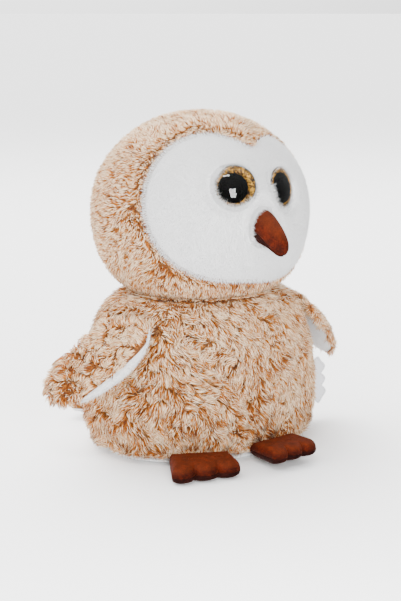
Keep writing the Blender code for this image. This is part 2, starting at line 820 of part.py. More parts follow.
def make_feet(wall, parts, cutters, paints):
    root = FOOT_HALF_WIDTH - FOOT_ROUND / 2
    outline = lobed_outline(root, FOOT_HALF_WIDTH, FOOT_LENGTH, FOOT_ROUND, TOE_COUNT)
    for name, side in SIDES.items():
        half = FOOT_THICKNESS / 2
        place = hinge_place(wall, side * FOOT_BEARING_DEG[name], FOOT_LIFT[name] + half, half)
        panels = {name + "_foot_upper": "rust velvet", name + "_foot_sole": "dark velvet"}
        seam = FOOT_THICKNESS * (FOOT_SEAM_SHARE - 0.5)
        stuffed_flap(
            outline, FOOT_THICKNESS, FOOT_ROUND, FOOT_PILE, seam, place,
            panels, name + "_foot_filling", parts, cutters, paints,
        )


def make_tail(wall, parts, cutters, paints):
    outline = lobed_outline(TAIL_ROOT_HALF_WIDTH, TAIL_HALF_WIDTH, TAIL_LENGTH, TAIL_ROUND, TAIL_LOBES)
    half = TAIL_THICKNESS / 2
    place = hinge_place(wall, TAIL_BEARING_DEG, TAIL_LIFT + half, half)
    panels = {"tail_upper": "tan plush", "tail_under": "white plush"}
    stuffed_flap(
        outline, TAIL_THICKNESS, TAIL_ROUND, TAIL_PILE, 0.0, place,
        panels, "tail_filling", parts, cutters, paints,
    )


def make_label(wall, parts, paints):
    """A folded cloth label with a scalloped edge. Local X runs out from the seam, local Y up."""
    scallop = LABEL_HEIGHT / LABEL_SCALLOPS
    depth = scallop * SCALLOP_DEPTH_SHARE
    low, high = depth, LABEL_HEIGHT - depth
    far = LABEL_WIDTH - depth
    corners = ((0, low), (far, low), (far, high), (0, high))
    outline = []
    for start, end in zip(corners, corners[1:]):
        outline += scallops(start, end, LABEL_SCALLOPS, SCALLOP_DEPTH_SHARE, SCALLOP_STEPS)[:-1]
    outline.append(corners[-1])
    made = pad("side_label", outline, LABEL_THICKNESS, LABEL_THICKNESS / 4, 0.0, parts, 0)
    top = LABEL_BOTTOM + LABEL_HEIGHT
    place = seat(LABEL_BEARING_DEG, LABEL_BOTTOM, lambda out: wall_reach(wall, out, LABEL_BOTTOM, top))
    stand = Matrix.Rotation(math.radians(90), 4, "Z") @ Matrix.Rotation(math.radians(90), 4, "X")
    made.matrix_world = place @ Matrix.Translation((0, TURN_GAP, 0)) @ stand
    finish(made, paints["label cloth"])


def main():
    clear_scene()
    parts = collection("plush_owl")
    cutters = collection("cutters", hidden=True)
    paints = {
        "tan plush": material("tan_plush", (0.72, 0.50, 0.31), 0.95),
        "white plush": material("white_plush", (0.88, 0.87, 0.85), 0.95),
        "white fibre": material("white_fibre", (0.90, 0.90, 0.90), 1.0),
        "pouch cloth": material("pouch_cloth", (0.80, 0.78, 0.72), 0.9),
        "rust velvet": material("rust_velvet", (0.25, 0.045, 0.015), 0.85),
        "dark velvet": material("dark_velvet", (0.15, 0.028, 0.012), 0.85),
        "clear plastic": material("clear_plastic", (0.75, 0.75, 0.75), 0.05),
        "gold glitter": material("gold_glitter", (0.55, 0.33, 0.08), 0.4),
        "black plastic": material("black_plastic", (0.01, 0.01, 0.01), 0.2),
        "white plastic": material("white_plastic", (0.80, 0.80, 0.78), 0.5),
        "label cloth": material("label_cloth", (0.85, 0.86, 0.86), 0.8),
    }
    make_torso(parts, cutters, paints)
    make_head(parts, cutters, paints)
    make_eyes(parts, paints)
    make_beak(parts, cutters, paints)
    wall = torso_wall(cutters)
    make_wings(wall, parts, cutters, paints)
    make_feet(wall, parts, cutters, paints)
    make_tail(wall, parts, cutters, paints)
    make_label(wall, parts, paints)


main()
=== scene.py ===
"""Dresses the plush owl: frosted fur, short white pile, velvet, glossy eyes, and a soft pale studio.

Metres, +Z up, in the frame of the solids. The owl looks along -Y and its own left side is at +X.
A skin lies inside each fabric solid, and the pile that grows from it ends about where the solid does.
"""

import json
import math

import bpy
import numpy as np
from bpy.props import FloatProperty, FloatVectorProperty, IntProperty, PointerProperty
from mathutils import Matrix, Vector


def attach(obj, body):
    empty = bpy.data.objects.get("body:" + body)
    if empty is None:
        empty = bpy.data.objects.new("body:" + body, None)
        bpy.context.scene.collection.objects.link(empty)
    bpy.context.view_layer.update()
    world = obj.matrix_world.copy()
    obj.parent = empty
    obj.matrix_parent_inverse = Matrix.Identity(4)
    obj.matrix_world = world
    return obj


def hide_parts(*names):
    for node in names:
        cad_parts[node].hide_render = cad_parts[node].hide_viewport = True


bl_info = {
    "name": "Plush Owl",
    "version": (1, 0, 0),
    "blender": (4, 5, 0),
    "location": "View3D > Sidebar > Plush Owl",
    "description": "Builds the fabric, fur and eyes of a plush owl round its solids",
    "category": "Add Mesh",
}

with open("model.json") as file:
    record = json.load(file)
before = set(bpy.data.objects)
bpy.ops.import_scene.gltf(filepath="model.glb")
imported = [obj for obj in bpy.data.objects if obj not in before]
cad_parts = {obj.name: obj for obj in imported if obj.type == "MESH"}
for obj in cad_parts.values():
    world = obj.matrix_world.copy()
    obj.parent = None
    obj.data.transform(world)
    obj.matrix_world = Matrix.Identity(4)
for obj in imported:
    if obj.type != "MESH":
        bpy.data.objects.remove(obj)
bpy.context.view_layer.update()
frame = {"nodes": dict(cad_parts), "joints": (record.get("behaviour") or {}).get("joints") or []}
PALETTE_MAP = "OFBake"  # across it a strand's tint, up it the way from root to tip
TINT_STEPS = 32  # columns of tint across that map
SIDES = {"left": 1, "right": -1}

# Torso: height, half width and half depth of its rings, from the base seam up to the neck seam
NECK_HEIGHT = 0.123
BODY_HALF_WIDTH, BODY_HALF_DEPTH = 0.0943, 0.0725
BODY_SHARES = (
    (0.035, 0.87), (0.08, 0.965), (0.24, 1.01), (0.46, 1.005), (0.68, 0.955), (0.86, 0.875), (0.97, 0.76),
)
NECK_RING = (NECK_HEIGHT, 0.055, 0.050)
BODY_RINGS = [
    (NECK_HEIGHT * rise, BODY_HALF_WIDTH * share, BODY_HALF_DEPTH * share) for rise, share in BODY_SHARES
] + [NECK_RING]

# Head: the same, from the neck seam up over the crown. The mirrored last rows round the crown off.
HEAD_FOOT, HEAD_HEIGHT = 0.1233, 0.137
HEAD_HALF_WIDTH, HEAD_HALF_DEPTH = 0.083, 0.0815
HEAD_SHARES = (
    (0.035, 0.76), (0.14, 0.925), (0.30, 1.01), (0.47, 1.035), (0.64, 0.98), (0.80, 0.81), (0.93, 0.54),
    (1.0, 0.22), (1.0, -0.22), (0.93, -0.54),
)
HEAD_RINGS = [(HEAD_FOOT, 0.055, 0.050)] + [
    (HEAD_FOOT + HEAD_HEIGHT * rise, HEAD_HALF_WIDTH * share, HEAD_HALF_DEPTH * share)
    for rise, share in HEAD_SHARES
]
HEAD_MIDDLE = np.array((0.0, 0.0, NECK_HEIGHT + HEAD_HEIGHT * 0.44))

# Heart-shaped face: degrees round it from straight up, and angular radius
FACE_OUTLINE = (
    (0, 35), (14, 43), (26, 52), (38, 58), (50, 62), (64, 64.5), (80, 65.5),
    (97, 64.5), (115, 60.5), (133, 54), (147, 48.5), (163, 43.5), (180, 41),
)
FACE_TURN = (
    Matrix.Rotation(math.radians(7), 3, "Z")
    @ Matrix.Rotation(math.radians(6), 3, "Y")
    @ Matrix.Rotation(math.radians(-7.5), 3, "X")
)
EYE_RADIUS = 0.0152
SOCKET_RADIUS = 0.034

# Beak: share of the length, half width, half height, droop
BEAK_RINGS = (
    (0.0, 0.86, 0.94, 0.0), (0.20, 0.94, 0.98, 0.0), (0.45, 0.88, 0.82, 0.02),
    (0.70, 0.76, 0.66, 0.14), (0.90, 0.62, 0.54, 0.36), (1.0, 0.32, 0.30, 0.50),
    (1.0, -0.32, -0.30, 0.50), (0.90, -0.62, -0.54, 0.36),
)
BEAK_LENGTH, BEAK_HALF_WIDTH, BEAK_HALF_HEIGHT = 0.034, 0.0108, 0.0130

# Wings: shares of the length, half width, half thickness and sweep
WING_SHARES = (
    (0.0, 0.66, 0.34, 0.0), (0.16, 0.80, 0.64, 0.06), (0.36, 0.94, 0.96, 0.24), (0.58, 1.00, 1.0, 0.54),
    (0.80, 0.84, 0.86, 0.84), (0.94, 0.56, 0.58, 0.97), (1.0, 0.28, 0.26, 1.0), (1.0, -0.28, -0.26, 1.0),
    (0.94, -0.56, -0.58, 0.97),
)
WING_LENGTH, WING_SWEEP, WING_HALF_WIDTH, WING_HALF_THICKNESS = 0.0705, 0.0310, 0.0325, 0.0080
WING_DROOP = {"left": 52, "right": 54}
# Partings of the pile on a wing: shares of its width, from the front edge, and of its length
WING_PARTINGS = ((0.24, 0.44), (0.30, 0.60), (0.50, 0.56), (0.22, 0.76), (0.56, 0.80), (0.70, 0.36))
# From root to tip, where the long pile starts and ends, in turns round the wing
WING_SEAMS = {
    "left": (
        (0.50, 1.20), (0.50, 1.08), (0.50, 1.035), (0.50, 1.02), (0.50, 1.02), (0.50, 1.03), (0.50, 1.05),
    ),
    "right": (
        (0.52, 1.0), (0.565, 1.0), (0.605, 1.0), (0.625, 1.0), (0.63, 1.0), (0.625, 1.0), (0.59, 1.0),
    ),
}

# Feet and tail: half width at the root and at the lobes, length, thickness, edge rounding, lobes
NEAR_FOOT = (0.0222, 0.0262, 0.0385, 0.0144, 0.0070, 3)
FAR_FOOT = (0.0198, 0.0218, 0.0325, 0.0130, 0.0062, 3)
TAIL = (0.0400, 0.0720, 0.0400, 0.0140, 0.0067, 5)
LOBE_DEPTH = 0.30
# How far the foot's side seam lies over the middle of its thickness, which is below it
FOOT_SEAM = 0.0130 * (0.42 - 0.5)

LABEL_WIDTH, LABEL_HEIGHT, LABEL_BOTTOM = 0.030, 0.040, 0.011
LABEL_BEARING = 98

# Camera: degrees to the owl's right of straight ahead, distance, height, and the height that it looks at
CAMERA_BEARING, CAMERA_DISTANCE, CAMERA_HEIGHT, CAMERA_AIM = 27, 1.05, 0.335, 0.112
# Its focal length and the height of the picture, in the picture's pixels
FOCAL_PIXELS, PICTURE_PIXELS = 1375, 601

# Colours in sRGB
WARM_SHAFT = "#B06A2C"
# Painted shade: the dark brown of the long pile's roots and of its backing stands for the shade deep in the
# coat
DEEP_COAT_SHADE = "#52290E"
PLUSH_TINTS = ((0.0, "#FAE6C8"), (0.38, "#D8B080"), (0.52, "#C87E30"), (0.75, "#9C5212"), (1.0, "#4C2006"))
WHITE_PILE = "#F4F4F3"
RUST_VELVET = "#431203"
# Painted shade: a darker copy of the rust velvet for the beak's underside and the soles
PAINTED_SHADE_VELVET = "#260803"
# Painted highlight: the lighter rust that velvet takes where it faces up
PAINTED_NAP_HIGHLIGHT = "#B4582C"
GOLD_GLITTER = "#4A2C03"
LABEL_SATIN = "#EFEFF2"


def linear(code):
    """An sRGB hex colour as linear red, green, blue and alpha."""
    values = [int(code[i : i + 2], 16) / 255 for i in (1, 3, 5)]
    return (*[v / 12.92 if v <= 0.04045 else ((v + 0.055) / 1.055) ** 2.4 for v in values], 1.0)


def colour(code, name, description):
    """A colour property whose default is an sRGB hex colour."""
    return FloatVectorProperty(
        name=name, description=description, subtype="COLOR", size=4, min=0, max=1, default=linear(code)
    )


def length(default, name, description):
    """A size property in metres."""
    look = {"subtype": "DISTANCE", "unit": "LENGTH", "precision": 4}
    return FloatProperty(name=name, description=description, default=default, min=0, **look)


def number(default, name, description, high=100):
    """A plain property from 0 up."""
    return FloatProperty(name=name, description=description, default=default, min=0, max=high)


def share(default, name, description):
    """A property from 0 to 1."""
    return FloatProperty(name=name, description=description, subtype="FACTOR", default=default, min=0, max=1)


class OwlColours(bpy.types.PropertyGroup):
    """Colours of the fabrics and the eyes."""

    shaft: colour(WARM_SHAFT, "Plush shaft", "Colour of the long pile between root and tip")
    # Painted shade: the roots and the backing are dark for the shade deep in the coat.
    root: colour(DEEP_COAT_SHADE, "Plush root", "Colour of the long pile and the backing deep in the coat")
    white: colour(WHITE_PILE, "White pile", "Colour of the face, the wing linings and the base")
    velvet: colour(RUST_VELVET, "Velvet", "Colour of the beak's top and the feet")
    # Painted shade: this darker copy of the velvet stands for the shade under the beak and under the feet.
    velvet_painted_shade: colour(PAINTED_SHADE_VELVET, "Velvet underneath", "Colour of the beak's underside and the soles")
    gold: colour(GOLD_GLITTER, "Eye ring", "Colour of the glitter round the pupil")
    label: colour(LABEL_SATIN, "Label", "Colour of the sewn label")


class OwlPile(bpy.types.PropertyGroup):
    """Lengths and densities of the pile."""

    torso: length(0.0100, "Torso pile", "Length of the torso's long pile")
    hood: length(0.0060, "Hood pile", "Length of the pile on the back of the head")
    limb: length(0.0076, "Wing and tail pile", "Length of the pile on the wings and the tail")
    short: length(0.0034, "Short pile", "Length of the white pile")
    width: length(0.00034, "Strand", "Half the width of a strand of the long pile")
    torso_density: number(1.22, "Torso density", "Strands to a square millimetre", 3)
    hood_density: number(1.05, "Hood density", "Strands to a square millimetre", 3)
    short_density: number(1.7, "Short pile density", "Strands to a square millimetre", 4)
    clump: length(0.0070, "Clump", "Distance between the points that strands gather towards")
    gather: share(0.50, "Gathering", "How far a strand's tip is drawn to its clump's tip")
    seed: IntProperty(name="Seed", description="Start of the random lay of the pile", default=7, min=0)


class OwlEyes(bpy.types.PropertyGroup):
    """Sizes of the domed eyes."""

    pupil: length(0.0106, "Pupil radius", "Radius of the black disc")
    dome: length(0.0074, "Dome height", "Height of the clear dome over its flange")


class OwlStage(bpy.types.PropertyGroup):
    """The studio round the owl."""

    floor: colour("#FBFBFB", "Floor", "Colour of the floor")
    glare: number(52, "Softboxes", "Brightness of the two small softboxes", 1000)
    cove: number(62, "Cove light", "Power of the large light over the backdrop", 1000)
    front_sky: number(0.62, "Room", "Brightness of the room before the owl")
    back_sky: number(5.2, "Backdrop", "Brightness of the backdrop")


class OwlSettings(bpy.types.PropertyGroup):
    """All that a user would change."""

    colours: PointerProperty(type=OwlColours)
    pile: PointerProperty(type=OwlPile)
    eyes: PointerProperty(type=OwlEyes)
    stage: PointerProperty(type=OwlStage)


# Shapes


def spline(table, where):
    """Rows along a uniform cubic B-spline through a table, where 0 is its first row and 1 its last.

    Four neighbouring rows are added with the weights (1-t)^3, 3t^3-6t^2+4, -3t^3+3t^2+3t+1 and t^3, over
    six. A row mirrored in each end makes the curve start and end on the table's own rows.
    """
    rows = np.asarray(table, float)
    rows = np.vstack([2 * rows[0] - rows[1], rows, 2 * rows[-1] - rows[-2]])
    place = np.clip(where, 0, 1) * (len(table) - 1)
    index = np.minimum(place.astype(int), len(table) - 2)
    t = (place - index)[..., None]
    weights = ((1 - t) ** 3, 3 * t**3 - 6 * t**2 + 4, 3 * t + 3 * t**2 + 1 - 3 * t**3, t**3)
    return sum(weight * rows[index + k] for k, weight in enumerate(weights)) / 6


def to_pole(table):
    """The share of a table that ends with two mirrored rows at which its curve crosses the middle."""
    return (len(table) - 2.5) / (len(table) - 1)


def unit(vectors):
    """The vectors at length one."""
    return vectors / np.maximum(np.linalg.norm(vectors, axis=-1, keepdims=True), 1e-12)


def smooth_step(low, high, value):
    """0 at low and before it, 1 at high and past it, with 3t^2 - 2t^3 between. Low may be the larger."""
    t = np.clip((value - low) / (high - low), 0, 1)
    return t * t * (3 - 2 * t)


def ripples(points, size, seed):
    """Smooth waves through space, about -1 to 1: sines along nine random directions, added and scaled.

    Their wavelengths lie round the given size.
    """
    rng = np.random.default_rng(seed)
    ways = unit(rng.normal(size=(9, 3))) * (2 * np.pi / size) * rng.uniform(0.7, 1.4, (9, 1))
    return np.sin(points @ ways.T + rng.uniform(0, 2 * np.pi, 9)).sum(-1) / 3


def torso_surface(u, v):
    """Point on the torso: the ring at share v up its profile, at the angle of u turns round it."""
    height, half_x, half_y = np.moveaxis(spline(BODY_RINGS, v), -1, 0)
    return np.stack([half_x * np.cos(2 * np.pi * u), half_y * np.sin(2 * np.pi * u), height], -1)


def face_frame(place):
    """Matrix of a place in the face's frame, whose -Y looks out and whose Z is up."""
    return Matrix.Translation(HEAD_MIDDLE) @ FACE_TURN.to_4x4() @ place


def eye_frame(side):
    """Matrix of an eye: its Z looks out, and its zero is the fabric behind the eye."""
    place = Matrix.Translation((side * 0.0198, -0.0720, HEAD_HEIGHT * 0.1131))
    return face_frame(
        place @ Matrix.Rotation(math.radians(side * 27), 4, "Z") @ Matrix.Rotation(math.radians(85), 4, "X")
    )


def label_root():
    """The lowest point of the label's seam."""
    hinge = next(j for j in frame["joints"] if j["name"] == "label_swing")
    return np.array(hinge["pos_m"]) * (1, 1, 0) + np.array((0, 0, LABEL_BOTTOM))


def beak_frame():
    """Matrix of the beak: its Z runs along it, and its Y is its upper side."""
    place = Matrix.Translation((0, -0.0750, -0.0105))
    return face_frame(place @ Matrix.Rotation(math.radians(117), 4, "X"))


def moved(matrix, points):
    """The points taken by a matrix."""
    m = np.array(matrix)
    return points @ m[:3, :3].T + m[:3, 3]


def face_radius(turn):
    """Angular radius of the face at angles round it: a Catmull-Rom curve through its outline."""
    rows = np.array(FACE_OUTLINE, float)
    ends = np.array([[-rows[1, 0], rows[1, 1]]]), np.array([[360 - rows[-2, 0], rows[-2, 1]]])
    rows = np.vstack([ends[0], rows, ends[1]])
    place = np.linspace(0, len(rows) - 3 - 1e-9, 200)
    i = place.astype(int)
    t = (place - i)[:, None]
    a, b, c, d = rows[i], rows[i + 1], rows[i + 2], rows[i + 3]
    curve = 0.5 * (2 * b + (c - a) * t + (2 * a - 5 * b + 4 * c - d) * t**2 + (3 * b - a - 3 * c + d) * t**3)
    away = np.abs((np.degrees(turn) + 180) % 360 - 180)
    return np.radians(np.interp(away, curve[:, 0], curve[:, 1]))


def head_reach(direction):
    """Distance from the head's middle to its surface along unit directions, found by halving.

    A point is inside while (x / half width)^2 + (y / half depth)^2 < 1 at its height. Each eye's socket is
    a ball that the fabric is drawn in to, and the smaller distance wins with a short smooth passage.
    """
    height, half_x, half_y = spline(HEAD_RINGS, np.linspace(0, to_pole(HEAD_RINGS), 240)).T
    low, high = np.zeros(direction.shape[:-1]), np.full(direction.shape[:-1], 0.13)
    for _ in range(26):
        middle = (low + high) / 2
        x, y, z = np.moveaxis(HEAD_MIDDLE + direction * middle[..., None], -1, 0)
        wide = np.interp(z, height, half_x)
        deep = np.interp(z, height, half_y)
        inside = (x / wide) ** 2 + (y / deep) ** 2 < 1
        inside &= (z > HEAD_FOOT) & (z < height[-1])
        low, high = np.where(inside, middle, low), np.where(inside, high, middle)
    reach = low
    for side in SIDES.values():
        ball = moved(eye_frame(side), np.array((0, 0, SOCKET_RADIUS))) - HEAD_MIDDLE
        along = direction @ ball
        root = along**2 - ball @ ball + SOCKET_RADIUS**2
        dent = np.where((root > 0) & (along > 0), along - np.sqrt(np.maximum(root, 0)), 1.0)
        blend = np.clip(0.5 + (reach - dent) / 0.004, 0, 1)
        reach = reach + (dent - reach) * blend - 0.002 * blend * (1 - blend)
    return reach


def head_point(turn, radius):
    """Point on the head at an angle round the face's axis and an angular radius from it."""
    local = np.stack([np.sin(radius) * np.sin(turn), -np.cos(radius), np.sin(radius) * np.cos(turn)], -1)
    direction = local @ np.array(FACE_TURN).T
    return HEAD_MIDDLE + direction * head_reach(direction)[..., None]


def face_surface(u, v):
    """Point on the face: v runs from its middle to its seam, u goes round it."""
    turn = 2 * np.pi * u
    return head_point(turn, v * face_radius(turn))


def hood_surface(u, v):
    """Point on the hood: v runs from the back of the head to the face's seam, u goes round."""
    turn = 2 * np.pi * u
    rim = face_radius(turn)
    return head_point(turn, np.pi - v * (np.pi - rim))


def round_form(table, sizes):
    """A surface of rings along Z: share v along a table, u turns round.

    The table's columns are shares of the length, the half width, the half height and the shift, and sizes
    holds those four with the shift's direction. The table ends in two mirrored rows that close the tip.
    """
    long, wide, tall, shift = sizes

    def surface(u, v):
        along, across, up, off = np.moveaxis(spline(table, v * to_pole(table)), -1, 0)
        x = wide * across * np.cos(2 * np.pi * u) + shift[0] * off
        y = tall * up * np.sin(2 * np.pi * u) + shift[1] * off
        return np.stack([x, y, long * along], -1)

    return surface


def lobed_edge(sizes, count):
    """Points round a flap at equal steps: a straight root, slanting sides and a row of equal arcs.

    An arc over a chord c with the rise s has the radius (c^2 / 4 + s^2) / 2s. Each point is then put at the
    mean of five neighbours, which rounds the corners.
    """
    root, half, reach, _, rounding, lobes = sizes
    chord = 2 * half / lobes
    rise = chord * LOBE_DEPTH
    radius = (chord**2 / 4 + rise**2) / (2 * rise)
    sweep = math.asin(chord / 2 / radius)
    angle = np.linspace(-sweep, sweep, 24)
    centres = half - chord * (np.arange(lobes) + 0.5)
    notch = reach - rounding - rise
    x = (centres[:, None] - radius * np.sin(angle)).ravel()
    y = np.tile(notch + rise - radius + radius * np.cos(angle), lobes)
    x = np.concatenate([x, [-root, root, x[0]]])
    y = np.concatenate([y, [-rounding, -rounding, y[0]]])
    run = np.concatenate([[0], np.cumsum(np.hypot(np.diff(x), np.diff(y)))])
    at = np.linspace(0, run[-1], count, endpoint=False)
    points = np.stack([np.interp(at, run, x), np.interp(at, run, y)], -1)
    return sum(np.roll(points, k, 0) for k in (-2, -1, 0, 1, 2)) / 5


def flap_surface(sizes, side, crease, seam=0.0):
    """One face of a stuffed flap: v runs from its middle line to its edge, u goes round the edge.

    Its height over the seam is half the thickness times (1 - v^4)^0.5, less a crease behind each notch
    between two lobes, which is a bell curve across and grows towards the notch.
    """
    root, half, reach, thick, rounding, lobes = sizes
    edge = lobed_edge(sizes, 480)
    edge = np.vstack([edge, edge[:1]])
    steps = np.linspace(0, 1, len(edge))
    chord = 2 * half / lobes
    notches = half - chord * np.arange(1, lobes)

    def surface(u, v):
        x = np.interp(u % 1, steps, edge[:, 0])
        y = np.interp(u % 1, steps, edge[:, 1])
        core_x = np.clip(x, -root * 0.7, root * 0.7)
        core_y = (reach - rounding) * 0.42
        px, py = core_x + (x - core_x) * v, core_y + (y - core_y) * v
        height = np.sqrt(np.maximum(1 - v**4, 0))
        across = np.abs(px[..., None] - notches).min(-1)
        grown = smooth_step(reach * 0.50, reach * 0.85, py)
        height = height * (1 - crease * grown * np.exp(-((across / (chord * 0.13)) ** 2)))
        return np.stack([px, py, seam + side * height * (thick / 2 - side * seam)], -1)

    return surface


def flap_frame(joint):
    """Matrix of a flap on its joint: X along the joint's axis, Y out from the torso, Z up."""
    found = next(j for j in frame["joints"] if j["name"] == joint)
    x = Vector(found["axis"]).normalized()
    z = Vector((0, 0, 1))
    y = z.cross(x)
    return Matrix.Translation(found["pos_m"]) @ Matrix((x, y, z)).transposed().to_4x4()


def wing_frame(name):
    """Matrix of a wing: Z runs down it from its hinge, X along the hinge, and -Y looks out."""
    return flap_frame(name + "_wing_hinge") @ Matrix.Rotation(math.radians(-90 - WING_DROOP[name]), 4, "X")


def placed(surface, matrix):
    """The surface taken by a matrix."""
    return lambda u, v: moved(matrix, surface(u, v))


def normals(surface, u, v, heart):
    """Unit normals of a surface that point away from its heart, from steps to each side of (u, v)."""
    step = 2e-3
    low, high = np.clip(v - step, 0, 1), np.clip(v + step, 0, 1)
    across = surface(u + step, v) - surface(u - step, v)
    up = surface(u, high) - surface(u, low)
    normal = unit(np.cross(across, up))
    away = np.sign(((surface(u, v) - heart) * normal).sum(-1, keepdims=True))
    return normal * np.where(away == 0, 1, away)


# Meshes


def made_mesh(name, points, faces, corner_uv=None):
    """A mesh object from an array of points and arrays of faces, each with its own count of corners."""
    mesh = bpy.data.meshes.new(name)
    loops = np.concatenate([f.ravel() for f in faces])
    counts = np.concatenate([np.full(len(f), f.shape[1]) for f in faces])
    mesh.vertices.add(len(points))
    mesh.vertices.foreach_set("co", np.ascontiguousarray(points, np.float32).ravel())
    mesh.loops.add(len(loops))
    mesh.loops.foreach_set("vertex_index", loops.astype(np.int32))
    mesh.polygons.add(len(counts))
    mesh.polygons.foreach_set("loop_start", np.concatenate([[0], np.cumsum(counts)[:-1]]).astype(np.int32))
    mesh.update(calc_edges=True)
    mesh.polygons.foreach_set("use_smooth", np.full(len(counts), True))
    if corner_uv is not None:
        mesh.uv_layers.new(name=PALETTE_MAP).data.foreach_set("uv", corner_uv.astype(np.float32).ravel())
    mesh.validate()
    made = bpy.data.objects.new(name, mesh)
    bpy.context.scene.collection.objects.link(made)
    return made


def grid_faces(rows, columns):
    """Quads between the rows of a grid whose columns go round."""
    r, c = np.meshgrid(np.arange(rows - 1), np.arange(columns), indexing="ij")
    after = (c + 1) % columns
    quads = [r * columns + c, r * columns + after, (r + 1) * columns + after, (r + 1) * columns + c]
    return np.stack(quads, -1).reshape(-1, 4)


def closed_form(name, rings, outward=True):
    """A closed mesh from rings of points (rows, columns, 3), each end capped with a fan to its middle."""
    rows, columns, _ = rings.shape
    ends = [rings[0].mean(0), rings[-1].mean(0)]
    points = np.vstack([rings.reshape(-1, 3), ends])
    first, last = rows * columns, rows * columns + 1
    here = np.arange(columns)
    after = (here + 1) % columns
    start = np.stack([after, here, np.full(columns, first)], -1)
    top = (rows - 1) * columns
    end = np.stack([top + here, top + after, np.full(columns, last)], -1)
    faces = [grid_faces(rows, columns), np.vstack([start, end])]
    if not outward:
        faces = [f[:, ::-1] for f in faces]
    return made_mesh(name, points, faces)


def tube_faces(rows, columns, first):
    """The quads round a short tube, and the triangles that close its two ends, from a first point on."""
    fan = np.stack([np.zeros(columns - 2, int), np.arange(1, columns - 1), np.arange(2, columns)], -1)
    ends = np.vstack([fan[:, ::-1], fan + (rows - 1) * columns])
    return grid_faces(rows, columns) + first, ends + first


def settle(piece, body, paint, slot, stands_for=()):
    """Gives a piece its material and its body, and hides the nodes that it stands for."""
    if paint.name not in piece.data.materials:
        piece.data.materials.append(paint)
    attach(piece, body)
    if stands_for:
        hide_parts(*stands_for)
    return piece


def two_sided(name, surface, start, end, heart, inset, rows, columns):
    """A closed half form: the part of a surface between two angles, closed by the straight chord.

    Its rings run from one angle to the other and back along the chord between both, and it lies an inset
    inside the surface.
    """
    u, v = np.meshgrid(np.linspace(start, end, columns), np.linspace(0, 1, rows))
    shell = surface(u, v) - inset * normals(surface, u, v, heart)
    t = np.linspace(0, 1, columns // 2 + 2)[1:-1, None]
    chord = shell[:, -1:, :] * (1 - t) + shell[:, :1, :] * t
    return closed_form(name, np.concatenate([shell, chord], 1))


# Pile


def sown(surface, density, seed, kept=None, grid=(120, 72)):
    """Where strands grow: (u, v) spread evenly by area over a surface, at a density per square metre.

    The areas of a grid's cells, times what kept gives for their points, are added up, and equal steps of
    that total are looked up in it. Inside a cell the points follow a low-discrepancy sequence.
    """
    across, up = grid
    u, v = np.meshgrid(np.linspace(0, 1, across + 1), np.linspace(0, 1, up + 1), indexing="ij")
    corner = surface(u, v)
    one, other = corner[1:, 1:] - corner[:-1, :-1], corner[1:, :-1] - corner[:-1, 1:]
    area = np.linalg.norm(np.cross(one, other), axis=-1) / 2
    if kept is not None:
        area = area * kept((corner[1:, 1:] + corner[:-1, :-1]) / 2)
    total = np.cumsum(area.ravel())
    count = int(total[-1] * density)
    cell = np.searchsorted(total, (np.arange(count) + 0.5) / count * total[-1])
    k = np.arange(count) + seed * 1000
    at_u = (cell // up + k * 0.7548776662 % 1) / across
    at_v = (cell % up + k * 0.5698402910 % 1) / up
    return at_u, at_v


def combed(normal, towards, turn):
    """Directions in the surface that follow a direction in space, turned round the normal by an angle."""
    lay = unit(towards - (towards * normal).sum(-1, keepdims=True) * normal)
    aside = np.cross(normal, lay)
    turn = turn[..., None]
    return lay * np.cos(turn) + aside * np.sin(turn)


def parted(point, centres, size, least=0.10):
    """Offsets from the nearest parting of the pile, and how strongly it acts: a bell curve of a given size.

    The places are drifted by smooth waves first, so that no two partings have the same outline. The peaks
    of the curves lie between least and 0.8.
    """
    shape = point.shape[:-1]
    drift = [ripples(point, 0.016, seed) for seed in (31, 32, 33)]
    point = point + 0.0048 * np.stack(drift, -1)
    found = nearest(point.reshape(-1, 3), centres)
    off = point - centres[found].reshape(point.shape)
    strong = least + (0.8 - least) * (found * 0.618034 % 1)
    return off, strong.reshape(shape) * np.exp(-((np.linalg.norm(off, axis=-1) / size) ** 2))


def nearest(points, centres):
    """Index of the centre that is nearest to each point, worked out for a few thousand at a time."""
    weight = (centres**2).sum(-1)
    found = [
        (weight - 2 * points[i : i + 4096] @ centres.T).argmin(-1) for i in range(0, len(points), 4096)
    ]
    return np.concatenate(found)


